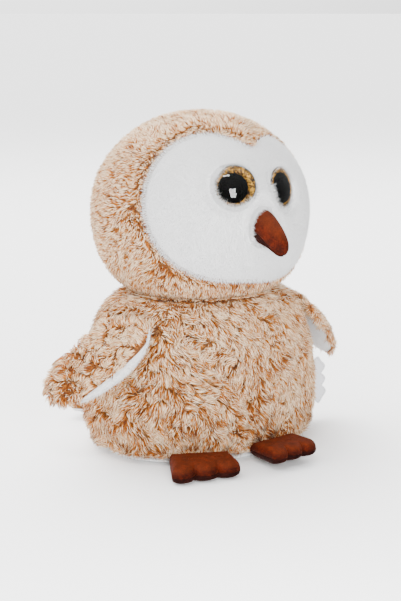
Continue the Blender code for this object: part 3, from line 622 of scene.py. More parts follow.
def strand_mesh(name, points, widths, tint):
    """Three-sided tapering strands from their points (strands, 2 or 3, 3), as closed meshes.

    All but the last point carry a triangle of the given half width square to the strand, and the last is
    the tip. In the palette map a strand keeps to its tint's column and runs from root to tip.
    """
    count, levels, _ = points.shape
    rng = np.random.default_rng(len(name) + count)
    axis = unit(points[:, -1] - points[:, 0])
    side = unit(np.cross(axis, unit(rng.normal(size=(count, 3)))))
    other = np.cross(axis, side)
    rings = []
    for level in range(levels - 1):
        for corner in range(3):
            a = 2 * math.pi * corner / 3
            offset = side * math.cos(a) + other * math.sin(a)
            rings.append(points[:, level] + offset * widths[level][:, None])
    rings.append(points[:, -1])
    corners = np.stack(rings, 1)
    corners[..., 2] = np.maximum(corners[..., 2], 0.0002)
    size = corners.shape[1]
    start = (np.arange(count) * size)[:, None, None]
    heights = list(np.linspace(0, 1, levels))
    quads, quad_v = [], []
    for level in range(levels - 2):
        for corner in range(3):
            a, b = level * 3 + corner, level * 3 + (corner + 1) % 3
            quads.append((a, b, b + 3, a + 3))
            quad_v.append([heights[level]] * 2 + [heights[level + 1]] * 2)
    top = (levels - 2) * 3
    tris = [(2, 1, 0)] + [(top + c, top + (c + 1) % 3, size - 1) for c in range(3)]
    tri_v = [[0, 0, 0.04]] + [[heights[-2]] * 2 + [1.0]] * 3
    faces, uvs = [], []
    middle = (np.floor(np.clip(tint, 0, 0.999) * TINT_STEPS) + 0.5) / TINT_STEPS
    half = 0.35 / TINT_STEPS
    for kind, heights_of, spread in (
        (quads, quad_v, (-half, half, half, -half)),
        (tris, tri_v, (-half, half, 0.0)),
    ):
        if not kind:
            continue
        faces.append((start + np.array(kind)[None]).reshape(-1, len(spread)))
        u = np.broadcast_to(middle[:, None, None] + np.array(spread), (count, len(kind), len(spread)))
        v = np.broadcast_to(np.array(heights_of), (count, len(kind), len(spread)))
        uvs.append(np.stack([u, v], -1).reshape(-1, 2))
    return made_mesh(name, corners.reshape(-1, 3), faces, np.concatenate(uvs))


def long_pile(
    name, surface, heart, inset, look, pile, comb, tone, kept=None, grid=(120, 72), seed=0, clump=None
):
    """Long gathered pile on a surface, as one mesh.

    A strand leaves the skin at a steep angle and bends over into the lay that comb gives. Its tip is drawn
    towards the tip of the nearest clump, so strands gather into pointed tufts. A strand is dyed or cream by
    chance: tone gives the share of dyed strands at a place, and where it is higher they are darker too.
    look holds the length, the density and the two angles from the normal.
    """
    long, density, low_angle, high_angle = look
    clump = clump or pile.clump
    seed = seed + pile.seed
    rng = np.random.default_rng(seed)

    def laid(u, v, spread, aside):
        point, normal = surface(u, v), normals(surface, u, v, heart)
        reach = long * (1 + spread * rng.uniform(-1, 1, len(point)))[:, None]
        lay = combed(normal, comb(point, normal), aside * rng.normal(size=len(point)))
        a = np.radians(low_angle + 30 * spread * rng.normal(size=len(point)))[:, None]
        b = np.radians(high_angle + 34 * spread * rng.normal(size=len(point)))[:, None]
        start = point - normal * (inset + 0.0004)
        middle = start + (normal * np.cos(a) + lay * np.sin(a)) * reach * 0.5
        tip = middle + (normal * np.cos(b) + lay * np.sin(b)) * reach * 0.5
        return point, start, middle, tip

    u, v = sown(surface, density * 1e6, seed, kept, grid)
    point, start, middle, tip = laid(u, v, 0.30, 0.38)
    cu, cv = sown(surface, 1 / clump**2, seed + 1, kept, grid)
    c_point, _, c_middle, c_tip = laid(cu, cv, 0.15, 0.5)
    mine = nearest(point, c_point)
    strength = pile.gather * rng.uniform(0.2, 1.7, len(c_point))[mine][:, None]
    strength = np.clip(strength * (1 + 0.30 * rng.normal(size=(len(point), 1))), 0, 0.85)
    tip = tip + (c_tip[mine] - tip) * strength
    middle = middle + (c_middle[mine] - middle) * strength * 0.35
    far = np.linalg.norm(point - c_point[mine], axis=-1) / clump
    chance = tone(point) + 0.10 * rng.normal(size=len(c_point))[mine] + 0.06 - 0.12 * far
    dyed = rng.uniform(size=len(point)) < chance
    deep = 0.50 + 0.40 * np.clip(chance, 0, 1) + 0.15 * rng.normal(size=len(point))
    tint = np.where(dyed, np.clip(deep, 0.45, 1), rng.uniform(0, 0.40, len(point)))
    width = pile.width * rng.uniform(0.7, 1.3, len(point))
    return strand_mesh(name, np.stack([start, middle, tip], 1), (width, width), tint)


def short_pile(name, surface, heart, inset, look, comb, kept=None, grid=(120, 72), seed=0):
    """Short white pile: straight tapering strands with a wide spread of angles."""
    long, density, angle, width = look
    rng = np.random.default_rng(seed)
    u, v = sown(surface, density * 1e6, seed, kept, grid)
    point, normal = surface(u, v), normals(surface, u, v, heart)
    lay = combed(normal, comb(point, normal), rng.uniform(-0.9, 0.9, len(point)))
    a = np.radians(angle + 14 * rng.normal(size=len(point)))[:, None]
    start = point - normal * (inset + 0.0003)
    reach = long * rng.uniform(0.75, 1.15, (len(point), 1))
    tip = start + (normal * np.cos(a) + lay * np.sin(a)) * reach
    thick = width * rng.uniform(0.75, 1.2, len(point))
    tint = rng.uniform(0, 1, len(point))
    return strand_mesh(name, np.stack([start, tip], 1), (thick,), tint)


# Materials


def node(tree, kind, inputs=None, **settings):
    """Adds a node, sets its properties, and sets or links its inputs by name or number."""
    made = tree.nodes.new(kind)
    for key, value in settings.items():
        setattr(made, key, value)
    for key, value in (inputs or {}).items():
        if isinstance(value, bpy.types.NodeSocket):
            tree.links.new(value, made.inputs[key])
        else:
            made.inputs[key].default_value = value
    return made


def ramp(tree, factor, stops):
    """A colour ramp with its stops as (place, linear colour)."""
    made = node(tree, "ShaderNodeValToRGB", {"Fac": factor})
    for k, (place, tone) in enumerate(stops):
        stop = made.color_ramp.elements[k] if k < 2 else made.color_ramp.elements.new(place)
        stop.position = place
        stop.color = tone
    return made.outputs["Color"]


def mixed(tree, factor, first, second, blend="MIX"):
    """The colour output of a mix of two colours."""
    inputs = {"Factor": factor, 6: first, 7: second}
    return node(tree, "ShaderNodeMix", inputs, data_type="RGBA", blend_type=blend).outputs[2]


def pattern(tree, kind, scale, inputs=None, **settings):
    """A texture on the piece's own coordinates. A scale of 1000 makes its cells about 1 mm wide."""
    place = node(tree, "ShaderNodeTexCoord")
    inputs = {"Vector": place.outputs["Object"], "Scale": scale, **(inputs or {})}
    return node(tree, "ShaderNodeTex" + kind, inputs, **settings)


def strand_place(tree):
    """A strand's place on the palette map: X is its tint, and Y runs from its root to its tip."""
    place = node(tree, "ShaderNodeUVMap", uv_map=PALETTE_MAP)
    return node(tree, "ShaderNodeSeparateXYZ", {"Vector": place.outputs["UV"]}).outputs


def bumped(tree, shader, height, depth, strength):
    """Raises the shader's surface by a height that is measured in the depth, in metres."""
    bump = node(tree, "ShaderNodeBump", {"Height": height, "Distance": depth, "Strength": strength})
    tree.links.new(bump.outputs["Normal"], shader.inputs["Normal"])


def scaled(tone, factor):
    """A linear colour times a factor, with no channel over 1."""
    return (*[min(channel * factor, 1) for channel in tone[:3]], 1.0)


def material(name, **constants):
    """A new material and its tree and shader, with constant values set on the shader's sockets."""
    paint = bpy.data.materials.get(name)
    if paint:
        bpy.data.materials.remove(paint)
    paint = bpy.data.materials.new(name)
    paint.use_nodes = True
    shader = paint.node_tree.nodes["Principled BSDF"]
    for key, value in constants.items():
        shader.inputs[key.replace("_", " ")].default_value = value
    return paint, paint.node_tree, shader


def kept_material(name, make, *values):
    """The material of that name, made on first use."""
    return bpy.data.materials.get(name) or make(name, *values)


def frosted_plush(name, colours):
    """Tipped polyester fur: dark painted shade at the root, warm in the middle, the strand's own tint at the
    tip.

    Long acrylic and polyester pile scatters light softly and keeps a slight gloss along the strand.
    """
    paint, tree, shader = material(name, Roughness=0.65, Sheen_Weight=0.05, Specular_IOR_Level=0.15)
    place = strand_place(tree)
    tips = ramp(tree, place["X"], [(at, linear(code)) for at, code in PLUSH_TINTS])
    # The darker the tip, the further down the strand it reaches.
    edge = node(tree, "ShaderNodeMapRange", {"Value": place["X"], "To Min": 0.42, "To Max": 0.25})
    end = node(tree, "ShaderNodeMath", {0: edge.outputs["Result"], 1: 0.22}, operation="ADD")
    span = {"From Min": edge.outputs["Result"], "From Max": end.outputs["Value"]}
    dye = node(tree, "ShaderNodeMapRange", {"Value": place["Y"], **span})
    # Painted shade: low on each strand the colour runs from the dark root colour up to the shaft colour,
    # standing in for the shade deep in the coat.
    shade = node(tree, "ShaderNodeMapRange", {"Value": place["Y"], "From Min": 0.08, "From Max": 0.38})
    shaft = mixed(tree, shade.outputs["Result"], tuple(colours.root), tuple(colours.shaft))
    tree.links.new(mixed(tree, dye.outputs["Result"], shaft, tips), shader.inputs["Base Color"])
    return paint


def plush_backing(name, colours):
    """The knitted backing under the long pile: the dark root colour as painted shade, mottled, with a fine
    loop texture.
    """
    paint, tree, shader = material(name, Roughness=0.9, Sheen_Weight=0.15)
    patches = pattern(tree, "Noise", 160.0)
    # Painted shade: the backing is mottled between the dark root colour and a mid tan, for the shade under
    # the pile.
    warm = mixed(tree, patches.outputs["Fac"], tuple(colours.root), linear("#B07A48"))
    tree.links.new(warm, shader.inputs["Base Color"])
    # Knitted loops are about 1.2 mm apart.
    bumped(tree, shader, pattern(tree, "Noise", 830.0).outputs["Fac"], 0.0006, 0.7)
    return paint


def white_pile(name, colours):
    """Short white polyester pile: bright, matt and very even, with slightly cooler roots."""
    paint, tree, shader = material(name, Roughness=0.75, Sheen_Weight=0.35, Specular_IOR_Level=0.2)
    place = strand_place(tree)
    shades = ramp(tree, place["X"], [(0.0, linear("#EDEDED")), (1.0, tuple(colours.white))])
    tree.links.new(mixed(tree, place["Y"], linear("#E9E9EA"), shades), shader.inputs["Base Color"])
    return paint


def white_backing(name, colours):
    """The brushed white cloth under the short pile, with a fine nap."""
    paint, tree, shader = material(name, Roughness=0.92, Sheen_Weight=0.4)
    nap = pattern(tree, "Noise", 900.0, {"Detail": 4.0}).outputs["Fac"]
    tone = ramp(tree, nap, [(0.3, linear("#E2E2E3")), (0.7, tuple(colours.white))])
    tree.links.new(tone, shader.inputs["Base Color"])
    bumped(tree, shader, nap, 0.0005, 0.6)
    return paint


def tan_plush(colours):
    """The backing and the long pile of the frosted plush."""
    return (
        kept_material("knitted plush backing", plush_backing, colours),
        kept_material("frosted polyester plush", frosted_plush, colours),
    )


def white_plush(colours):
    """The backing and the short pile of the white plush."""
    return (
        kept_material("brushed white backing", white_backing, colours),
        kept_material("short white polyester pile", white_pile, colours),
    )


def velvet(name, tone, lit):
    """Polyester velvet: deep colour where one looks into the pile, a warm sheen where it turns away.

    The nap is brushed in patches about 6 mm wide, and its fibres make a fine grain. Where the surface faces
    up, a painted highlight lightens it, standing in for the light that falls on the top of a form.
    """
    paint, tree, shader = material(
        name, Roughness=0.8, Sheen_Weight=0.12, Sheen_Roughness=0.3,
        Sheen_Tint=linear("#C0541E"), Specular_IOR_Level=0.08,
    )
    brushed = pattern(tree, "Noise", 165.0, {"Detail": 3.0, "Roughness": 0.6}).outputs["Fac"]
    grain = pattern(tree, "Noise", 1100.0, {"Detail": 3.0}).outputs["Fac"]
    stops = [(0.32, scaled(tone, 0.55)), (0.52, tuple(tone)), (0.72, scaled(tone, 1.7))]
    patches = ramp(tree, brushed, stops)
    fleck = ramp(tree, grain, [(0.35, linear("#6A6A6A")), (0.65, linear("#FFFFFF"))])
    body = mixed(tree, 0.6, patches, fleck, "MULTIPLY")
    # Painted highlight: where the surface faces up, its colour is mixed towards a lighter rust by the given
    # share, standing in for light falling on the top of the form.
    facing = node(tree, "ShaderNodeNewGeometry")
    up = node(tree, "ShaderNodeSeparateXYZ", {"Vector": facing.outputs["Normal"]})
    span = {"Value": up.outputs["Z"], "From Min": 0.20, "From Max": 0.75}
    rise = node(tree, "ShaderNodeMapRange", span, interpolation_type="SMOOTHSTEP")
    nap = node(tree, "ShaderNodeMath", {0: rise.outputs["Result"], 1: lit}, operation="MULTIPLY")
    tree.links.new(mixed(tree, nap.outputs["Value"], body, linear(PAINTED_NAP_HIGHLIGHT)), shader.inputs["Base Color"])
    bumped(tree, shader, grain, 0.0003, 0.8)
    return paint


def clear_dome(name):
    """Clear acrylic, polished, with a hard shine.

    Its IOR of 1.49 is taken down to the soft reflections of the eye.
    """
    return material(name, Roughness=0.02, IOR=1.36, Transmission_Weight=1.0, Base_Color=(1, 1, 1, 1))[0]


def gold_glitter(name, colours):
    """Gold glitter foil under the dome: grains that differ in tone, drawn 0.8 mm wide so that they show."""
    paint, tree, shader = material(name, Metallic=0.6, Roughness=0.4)
    grains = pattern(tree, "Voronoi", 1250.0).outputs["Color"]
    stops = [(0.2, linear("#140A01")), (0.5, tuple(colours.gold)), (0.85, linear("#E8AA34"))]
    tree.links.new(ramp(tree, grains, stops), shader.inputs["Base Color"])
    bumped(tree, shader, grains, 0.0003, 1.0)
    return paint


def moulded(name, tone, roughness):
    """Injection-moulded plastic with the faint orange-peel of its mould. A rough one has no shine."""
    shine = 0.5 if roughness < 0.5 else 0.0
    paint, tree, shader = material(name, Roughness=roughness, Specular_IOR_Level=shine)
    peel = pattern(tree, "Noise", 700.0).outputs["Fac"]
    tree.links.new(mixed(tree, peel, tone, scaled(tone, 0.8)), shader.inputs["Base Color"])
    bumped(tree, shader, peel, 0.0001, 0.2)
    return paint


def stuffing(name, tone, scale):
    """Loose fibre, plain cloth or thread: soft light and dark wisps."""
    paint, tree, shader = material(name, Roughness=1.0)
    wisps = pattern(tree, "Noise", scale, {"Detail": 6.0}).outputs["Fac"]
    tree.links.new(mixed(tree, wisps, tone, scaled(tone, 0.85)), shader.inputs["Base Color"])
    bumped(tree, shader, wisps, 0.001, 0.6)
    return paint


def label_satin(name, colours):
    """Woven polyester satin ribbon: fine warp threads about 0.35 mm apart, drawn as coarse as they show."""
    paint, tree, shader = material(name, Roughness=0.42, Sheen_Weight=0.3)
    threads = pattern(tree, "Wave", 900.0, {"Distortion": 0.4}, bands_direction="Z").outputs["Fac"]
    shade = mixed(tree, threads, tuple(colours.label), linear("#D9D9DE"))
    tree.links.new(shade, shader.inputs["Base Color"])
    bumped(tree, shader, threads, 0.0002, 0.5)
    return paint


# Operators


class OWL_OT_torso(bpy.types.Operator):
    """Make the torso: its skin, its long pile in six parts, the ruff under the neck, and the white base"""

    bl_idname = "owl.torso"
    bl_label = "Torso and base"

    def execute(self, context):
        owl = context.scene.plush_owl
        pile = owl.pile
        backing, fur = tan_plush(owl.colours)
        heart = np.array((0, 0, 0.055))
        inset = 0.0052
        u, v = np.meshgrid(np.linspace(0, 1, 96, endpoint=False), np.linspace(0.012, 0.995, 44))
        shell = torso_surface(u, v) - inset * normals(torso_surface, u, v, heart)
        shell = shell + 0.0006 * ripples(shell, 0.030, 3)[..., None] * unit(shell - heart)
        height = torso_surface(u, v)[..., 2]
        under = smooth_step(0.108, 0.117, height)
        shell[..., 2] += under * (height - 0.0014 - shell[..., 2])
        skin = closed_form("torso_skin", shell)
        settle(skin, "torso", backing, "tan_plush", ["body_cover"])

        partings = torso_surface(*sown(torso_surface, 1 / 0.025**2, 9))
        seat = np.array(label_root())

        def by_label(point, reach):
            """The way out from the label's seam, and 1 close to the seam, falling to 0 at the reach."""
            off = point - seat
            beside = (off[..., 2] > -0.002) & (off[..., 2] < LABEL_HEIGHT + 0.002)
            close = smooth_step(reach, reach * 0.6, np.hypot(off[..., 0], off[..., 1]))
            return unit(off * (1, 1, 0)), close * beside

        def comb(point, normal):
            """Down in swirls, away from the partings and the label, but outwards by the neck and the base."""
            swirl = 0.9 * ripples(point, 0.060, 11) + 0.6 * ripples(point, 0.020, 12)
            lay = combed(normal, np.array((0.0, 0.0, -1.0)) + 0 * point, swirl)
            off, strong = parted(point, partings, 0.0085)
            lay = lay * (1 - strong[..., None]) + unit(off) * 1.3 * strong[..., None]
            out = unit(point * (1, 1, 0))
            top = smooth_step(0.1165, 0.1215, point[..., 2])[..., None]
            foot = smooth_step(0.014, 0.007, point[..., 2])[..., None]
            lift = 0.7 - 1.5 * smooth_step(-0.040, -0.065, point[..., 0])[..., None]
            lay = lay * (1 - foot) + (out + lift * (0, 0, 1)) * foot
            aside, seam = by_label(point, 0.014)
            lay = lay * (1 - seam[..., None]) + 1.6 * aside * seam[..., None]
            return lay * (1 - top) + (out + np.array((0.0, 0.0, 0.6))) * top

        def tone(point):
            """More dyed strands in the partings, low down and on the owl's right."""
            broad = ripples(point, 0.055, 21)
            fine = ripples(point, 0.017, 22)
            low = 0.08 * smooth_step(0.070, 0.010, point[..., 2])
            near = 0.08 * smooth_step(0.02, -0.06, point[..., 0])
            return 0.36 + 0.10 * broad + 0.15 * fine + low + near + 0.30 * parted(point, partings, 0.0070)[1]

        def clear_of_label(point):
            """0 on the label's seam, 1 elsewhere."""
            return 1.0 * (by_label(point, 0.004)[1] < 0.5)

        look = (pile.torso, pile.torso_density, 26, 66)
        for k in range(6):

            def part(u, v, k=k):
                return torso_surface((k + u) / 6, 0.02 + 0.98 * v)

            coat = long_pile(
                f"torso_fur_{k + 1}", part, heart, inset, look, pile, comb, tone, clear_of_label,
                grid=(40, 72), seed=10 + k,
            )
            settle(coat, "torso", fur, "tan_plush")

        def collar(u, v):
            """The flat top under the neck seam, from its rim inwards."""
            return torso_surface(u, 1.0 + 0 * v) * np.stack([1 - 0.3 * v, 1 - 0.3 * v, 0.992 + 0 * v], -1)

        look = (pile.torso * 0.7, pile.torso_density, 62, 80)
        ruff = long_pile(
            "neck_ruff", collar, np.array((0, 0, 0.08)), 0.0, look, pile,
            lambda p, n: unit(p * (1, 1, 0)), tone, grid=(120, 8), seed=18,
        )
        settle(ruff, "torso", fur, "tan_plush")
        self.base(owl, heart)
        return {"FINISHED"}

    def base(self, owl, heart):
        """The oval base: an ellipse with a rounded edge, and short pile all over it."""
        backing, white = white_plush(owl.colours)
        half_x, half_y = BODY_HALF_WIDTH * 0.87, BODY_HALF_DEPTH * 0.87
        u, v = np.meshgrid(np.linspace(0, 1, 96, endpoint=False), np.linspace(0, 1, 24))
        profile = np.array(
            ((0.0010, 0.30), (0.0008, 0.80), (0.0008, 0.955), (0.0018, 0.975), (0.0034, 0.97), (0.0040, 0.90))
        )

        def panel(u, v):
            height, out = np.moveaxis(spline(profile, v), -1, 0)
            turn = 2 * np.pi * u
            return np.stack([half_x * out * np.cos(turn), half_y * out * np.sin(turn), height], -1)

        skin = closed_form("base_skin", panel(u, v))
        settle(skin, "torso", backing, "white_plush", ["base_panel"])
        middle = np.array((0, 0, 0.0030))

        def comb(point, normal):
            return point * (1, 1, 0) + np.array((0.0, 0.0, 0.0004))

        def lowest(u, v):
            return panel(u, v * 0.93)

        look = (owl.pile.short * 0.8, 0.5, 78, 0.00032)
        nap = short_pile("base_nap", lowest, middle, 0.0, look, comb, seed=71)
        settle(nap, "torso", white, "white_plush")


class OWL_OT_head(bpy.types.Operator):
    """Make the head: its skin, the hood's pile and the white face"""

    bl_idname = "owl.head"
    bl_label = "Head and face"

    def execute(self, context):
        owl = context.scene.plush_owl
        pile = owl.pile
        backing, fur = tan_plush(owl.colours)
        inset = 0.0040
        u, v = np.meshgrid(np.linspace(0, 1, 112, endpoint=False), np.linspace(0.02, 1, 44))
        back = hood_surface(u, v) - inset * normals(hood_surface, u, v, HEAD_MIDDLE)
        u, v = np.meshgrid(np.linspace(0, 1, 112, endpoint=False), np.linspace(0.96, 0.05, 30))
        front = face_surface(u, v) - 0.0046 * normals(face_surface, u, v, HEAD_MIDDLE)
        skin = closed_form("head_skin", np.concatenate([back, front]), outward=False)
        settle(skin, "head", backing, "tan_plush", ["head_cover"])
        axis = np.array(FACE_TURN) @ np.array((0.0, -1.0, 0.0))

        def off_seam(point):
            """Angle between a point's direction and the face's seam, past it, in degrees."""
            local = unit(point - HEAD_MIDDLE) @ np.array(FACE_TURN)
            turn = np.arctan2(local[..., 0], local[..., 2])
            return np.degrees(np.arccos(np.clip(-local[..., 1], -1, 1)) - face_radius(turn))

        def comb(point, normal):
            """Backwards and down from the face, and over its seam in the last few degrees."""
            over = np.exp(-off_seam(point) / 6)[..., None]
            low = smooth_step(0.150, 0.130, point[..., 2])[..., None]
            back = -axis * (1 - 2.4 * over) * (1 - low)
            down = np.array((0.0, 0.0, -0.7)) * (1 - over * (1 - low))
            swirl = 0.8 * ripples(point, 0.050, 13) + 0.6 * ripples(point, 0.020, 14)
            return combed(normal, back + down, swirl * (1 - low[..., 0]))

        def tone(point):
            """More dyed strands by the face's seam, and fewer on the crown."""
            seam = 0.35 * np.exp(-off_seam(point) / 3)
            crown = 0.20 * smooth_step(0.195, 0.245, point[..., 2])
            return 0.34 + 0.06 * ripples(point, 0.045, 23) + 0.26 * ripples(point, 0.007, 24) + seam - crown

        def on_hood(point):
            """0 below the neck seam, 1 above it."""
            return (point[..., 2] > HEAD_FOOT + 0.0004).astype(float)

        look = (pile.hood, pile.hood_density, 24, 54)
        for k in range(5):

            def part(u, v, k=k):
                return hood_surface(-0.1 + (k + u) / 5, 0.01 + 0.985 * v)

            coat = long_pile(
                f"hood_fur_{k + 1}", part, HEAD_MIDDLE, inset, look, pile, comb, tone, on_hood,
                grid=(40, 72), seed=30 + k, clump=pile.clump * 0.58,
            )
            settle(coat, "head", fur, "tan_plush")
        self.face(owl)
        return {"FINISHED"}

    def face(self, owl):
        """The white face: a thin closed dome whose rim dips into the seam, its short pile, and a longer
        fringe round the eyes and the beak's root."""
        backing, white = white_plush(owl.colours)
        u, v = np.meshgrid(np.linspace(0, 1, 160, endpoint=False), np.linspace(0.02, 1, 72))
        depth = 0.0026 + 0.0030 * smooth_step(0.955, 1.0, v)
        outer = face_surface(u, v) - depth[..., None] * normals(face_surface, u, v, HEAD_MIDDLE)
        u, v = np.meshgrid(np.linspace(0, 1, 160, endpoint=False), np.linspace(0.99, 0.04, 24))
        inner = face_surface(u, v) - 0.0058 * normals(face_surface, u, v, HEAD_MIDDLE)
        skin = closed_form("face_skin", np.concatenate([outer, inner]))
        settle(skin, "head", backing, "white_plush", ["face_panel"])
        eyes = [(np.array(eye_frame(side)), side) for side in SIDES.values()]
        beak = np.array(beak_frame())

        def off_eye(point, eye):
            """Offsets of points from the axis of an eye."""
            off = point - eye[:3, 3]
            return off - (off @ eye[:3, 2])[..., None] * eye[:3, 2]

        def off_beak(point):
            """Points in the beak's frame, and how far out they are as a share of its root's ellipse."""
            local = (point - beak[:3, 3]) @ beak[:3, :3]
            return local, np.hypot(local[..., 0] / 0.0100, local[..., 1] / 0.0122)

        def on_face(point):
            """0 under the eyes and inside the beak, 1 elsewhere."""
            free = np.ones(point.shape[:-1])
            for eye, _ in eyes:
                free = free * (np.linalg.norm(off_eye(point, eye), axis=-1) > EYE_RADIUS)
            local, off = off_beak(point)
            return free * np.where((local[..., 2] > -0.01) & (off < 1), 0.0, 1.0)

        def comb(point, normal):
            """Down and away from the beak, but over the rims of the eyes and over the beak's root."""
            towards = unit(point - beak[:3, 3]) * 0.8 + np.array((0.0, 0.0, -0.5))
            for eye, side in eyes:
                off = off_eye(point, eye)
                near = smooth_step(0.0045, 0.0015, np.linalg.norm(off, axis=-1) - EYE_RADIUS)[..., None]
                over = 0.5 - 1.8 * unit(off) @ unit(np.array((0.35 - 0.35 * side, 0.0, 0.70)))[..., None]
                towards = towards * (1 - near) - unit(off) * np.clip(over, -0.4, 1.6) * near
            root = np.linalg.norm(point - beak[:3, 3], axis=-1)
            close = smooth_step(0.026, 0.011, root)[..., None]
            return towards * (1 - close) - unit(point - beak[:3, 3]) * 0.8 * close

        look = (owl.pile.short, owl.pile.short_density, 40, 0.00026)
        nap = short_pile(
            "face_nap", face_surface, HEAD_MIDDLE, 0.0026, look, comb, on_face, grid=(260, 180), seed=51
        )
        settle(nap, "head", white, "white_plush")

        def by_rims(point):
            """1 in a band 2.5 mm wide round each eye and the beak's root, 0 elsewhere."""
            _, off = off_beak(point)
            band = ((off > 1) & (off < 1.25)).astype(float)
            for eye, _ in eyes:
                off = np.linalg.norm(off_eye(point, eye), axis=-1) - EYE_RADIUS
                band = np.maximum(band, (off > 0) & (off < 0.0025))
            return band

        look = (owl.pile.short * 1.7, owl.pile.short_density * 1.5, 40, 0.00024)
        fringe = short_pile(
            "eye_fringe", face_surface, HEAD_MIDDLE, 0.0020, look, comb, by_rims, grid=(260, 180), seed=52
        )
        settle(fringe, "head", white, "white_plush")


class OWL_OT_eyes(bpy.types.Operator):
    """Make the domed eyes: a clear dome, a glitter ring and a black pupil on each side"""

    bl_idname = "owl.eyes"
    bl_label = "Eyes"

    def execute(self, context):
        owl = context.scene.plush_owl
        dome = kept_material("polished clear acrylic", clear_dome)
        gold = kept_material("gold glitter film", gold_glitter, owl.colours)
        black = kept_material("black backing print", moulded, linear("#020202"), 0.6)
        tall = owl.eyes.dome
        pupil = owl.eyes.pupil
        # The print behind each dome sits off its middle: this far to the owl's right and down.
        offsets = {"left": np.array((-0.0026, 0.0, 0.0)), "right": np.array((-0.0020, 0.0, -0.0015))}
        arc = np.linspace(0.02, np.pi / 2, 22)
        # The clear plastic is cast round the ring and the pupil, so nothing but its dome reflects.
        lens = np.concatenate(
            [
                np.stack([EYE_RADIUS * np.sin(arc), 0.0022 + (tall - 0.0022) * np.cos(arc)], -1),
                [(EYE_RADIUS, 0.0012), (EYE_RADIUS - 0.0003, 0.0002), (0.0005, 0.0002)],
            ]
        )
        ring = [(0.0080, 0.0016), (0.0137, 0.0021), (0.0139, 0.0018), (0.0139, 0.0008), (0.0080, 0.0008)]
        front, back = 0.0026, 0.0018
        disc = [(0.0002, front), (pupil - 0.0003, front), (pupil, 0.0024), (pupil, back), (0.0002, back)]
        for name, side in SIDES.items():
            for piece, profile, paint, slot in (
                ("lens", lens, dome, "clear_plastic"),
                ("iris", ring + ring[:1], gold, "gold_glitter"),
                ("pupil", disc, black, "black_plastic"),
            ):
                shift = offsets[name] * (piece == "pupil")
                node_name = f"{name}_eye_{piece}"
                made = self.turned(node_name + "_fine", np.array(profile), side, piece == "iris", shift)
                settle(made, "head", paint, slot, [node_name])
        return {"FINISHED"}

    def turned(self, name, profile, side, is_ring, shift):
        """A profile of (radius, height) carried round the eye's axis in 96 steps, then moved in its plane.

        A ring's profile ends where it starts, and any other is closed at both ends.
        """
        a = np.linspace(0, 2 * np.pi, 96, endpoint=False)
        radius, height = profile[:, :1], profile[:, 1:]
        rings = np.stack([radius * np.cos(a), radius * np.sin(a), height + 0 * a], -1)
        out = np.array(eye_frame(side))[:3, 2]
        rings = moved(eye_frame(side), rings) + shift - out * (shift @ out)
        if not is_ring:
            return closed_form(name, rings[::-1])
        faces = grid_faces(len(profile), 96)
        merged = faces % ((len(profile) - 1) * 96)
        return made_mesh(name, rings[:-1].reshape(-1, 3), [merged[:, ::-1]])


class OWL_OT_beak(bpy.types.Operator):
    """Make the velvet beak in its two panels"""

    bl_idname = "owl.beak"
    bl_label = "Beak"

    def execute(self, context):
        owl = context.scene.plush_owl
        # The beak's top takes a painted highlight where it faces up.
        top = kept_material("brushed rust velvet", velvet, owl.colours.velvet, 0.08)
        # The beak's underside is a darker copy of the velvet, which paints its shade.
        under = kept_material("dark velvet", velvet, owl.colours.velvet_painted_shade, 0.0)
        sizes = (BEAK_LENGTH, BEAK_HALF_WIDTH, BEAK_HALF_HEIGHT, (0.0, -BEAK_HALF_HEIGHT))
        form = round_form(BEAK_RINGS, sizes)
        seam = math.asin(0.25) / (2 * math.pi)

        def pinched(u, v):
            """The beak drawn in along its side seams, in a groove 1.6 mm wide.

            Angles near the underside are squeezed together towards the tip, so the under panel ends short.
            """
            half = 0.25 - seam
            narrow = half * (1 - 0.75 * smooth_step(0.25, 0.95, v))
            off = (u - 0.75 + 0.5) % 1 - 0.5
            inner = off * narrow / half
            outer = np.sign(off) * (narrow + (np.abs(off) - half) * (0.5 - narrow) / (0.5 - half))
            point = form(0.75 + np.where(np.abs(off) <= half, inner, outer), v)
            point[..., 0] += 0.0028 * smooth_step(0.2, 1.0, v)
            gap = np.minimum(np.abs((u + seam) % 1), np.abs((u - 0.5 - seam + 0.5) % 1 - 0.5))
            gap = np.minimum(gap, np.abs((u + seam) % 1 - 1))
            draw = 0.0009 * np.exp(-((gap / 0.02) ** 2)) * smooth_step(1.0, 0.8, v)
            middle = spline(BEAK_RINGS, v * to_pole(BEAK_RINGS))[..., 3] * -BEAK_HALF_HEIGHT
            centre = np.stack([0.0028 * smooth_step(0.2, 1.0, v), middle, point[..., 2]], -1)
            return point + unit(centre - point) * draw[..., None]

        surface = placed(pinched, beak_frame())
        heart = moved(beak_frame(), np.array((0, -0.002, 0.014)))
        upper = two_sided("beak_upper_velvet", surface, -seam, 0.5 + seam, heart, 0.0003, 48, 49)
        settle(upper, "head", top, "rust_velvet", ["beak_upper"])
        lower = two_sided("beak_under_velvet", surface, 0.5 + seam, 1 - seam, heart, 0.0003, 48, 33)
        settle(lower, "head", under, "dark_velvet", ["beak_under"])
        u, v = np.meshgrid(np.linspace(0, 1, 40, endpoint=False), np.linspace(0.08, 0.96, 20))
        rings = surface(u, v) - 0.0026 * normals(surface, u, v, heart)
        core = closed_form("beak_stuffing", rings)
        fibre = kept_material("polyester fibre fill", stuffing, linear("#F2F2F0"), 240.0)
        settle(core, "head", fibre, "fibre", ["beak_filling"])
        return {"FINISHED"}


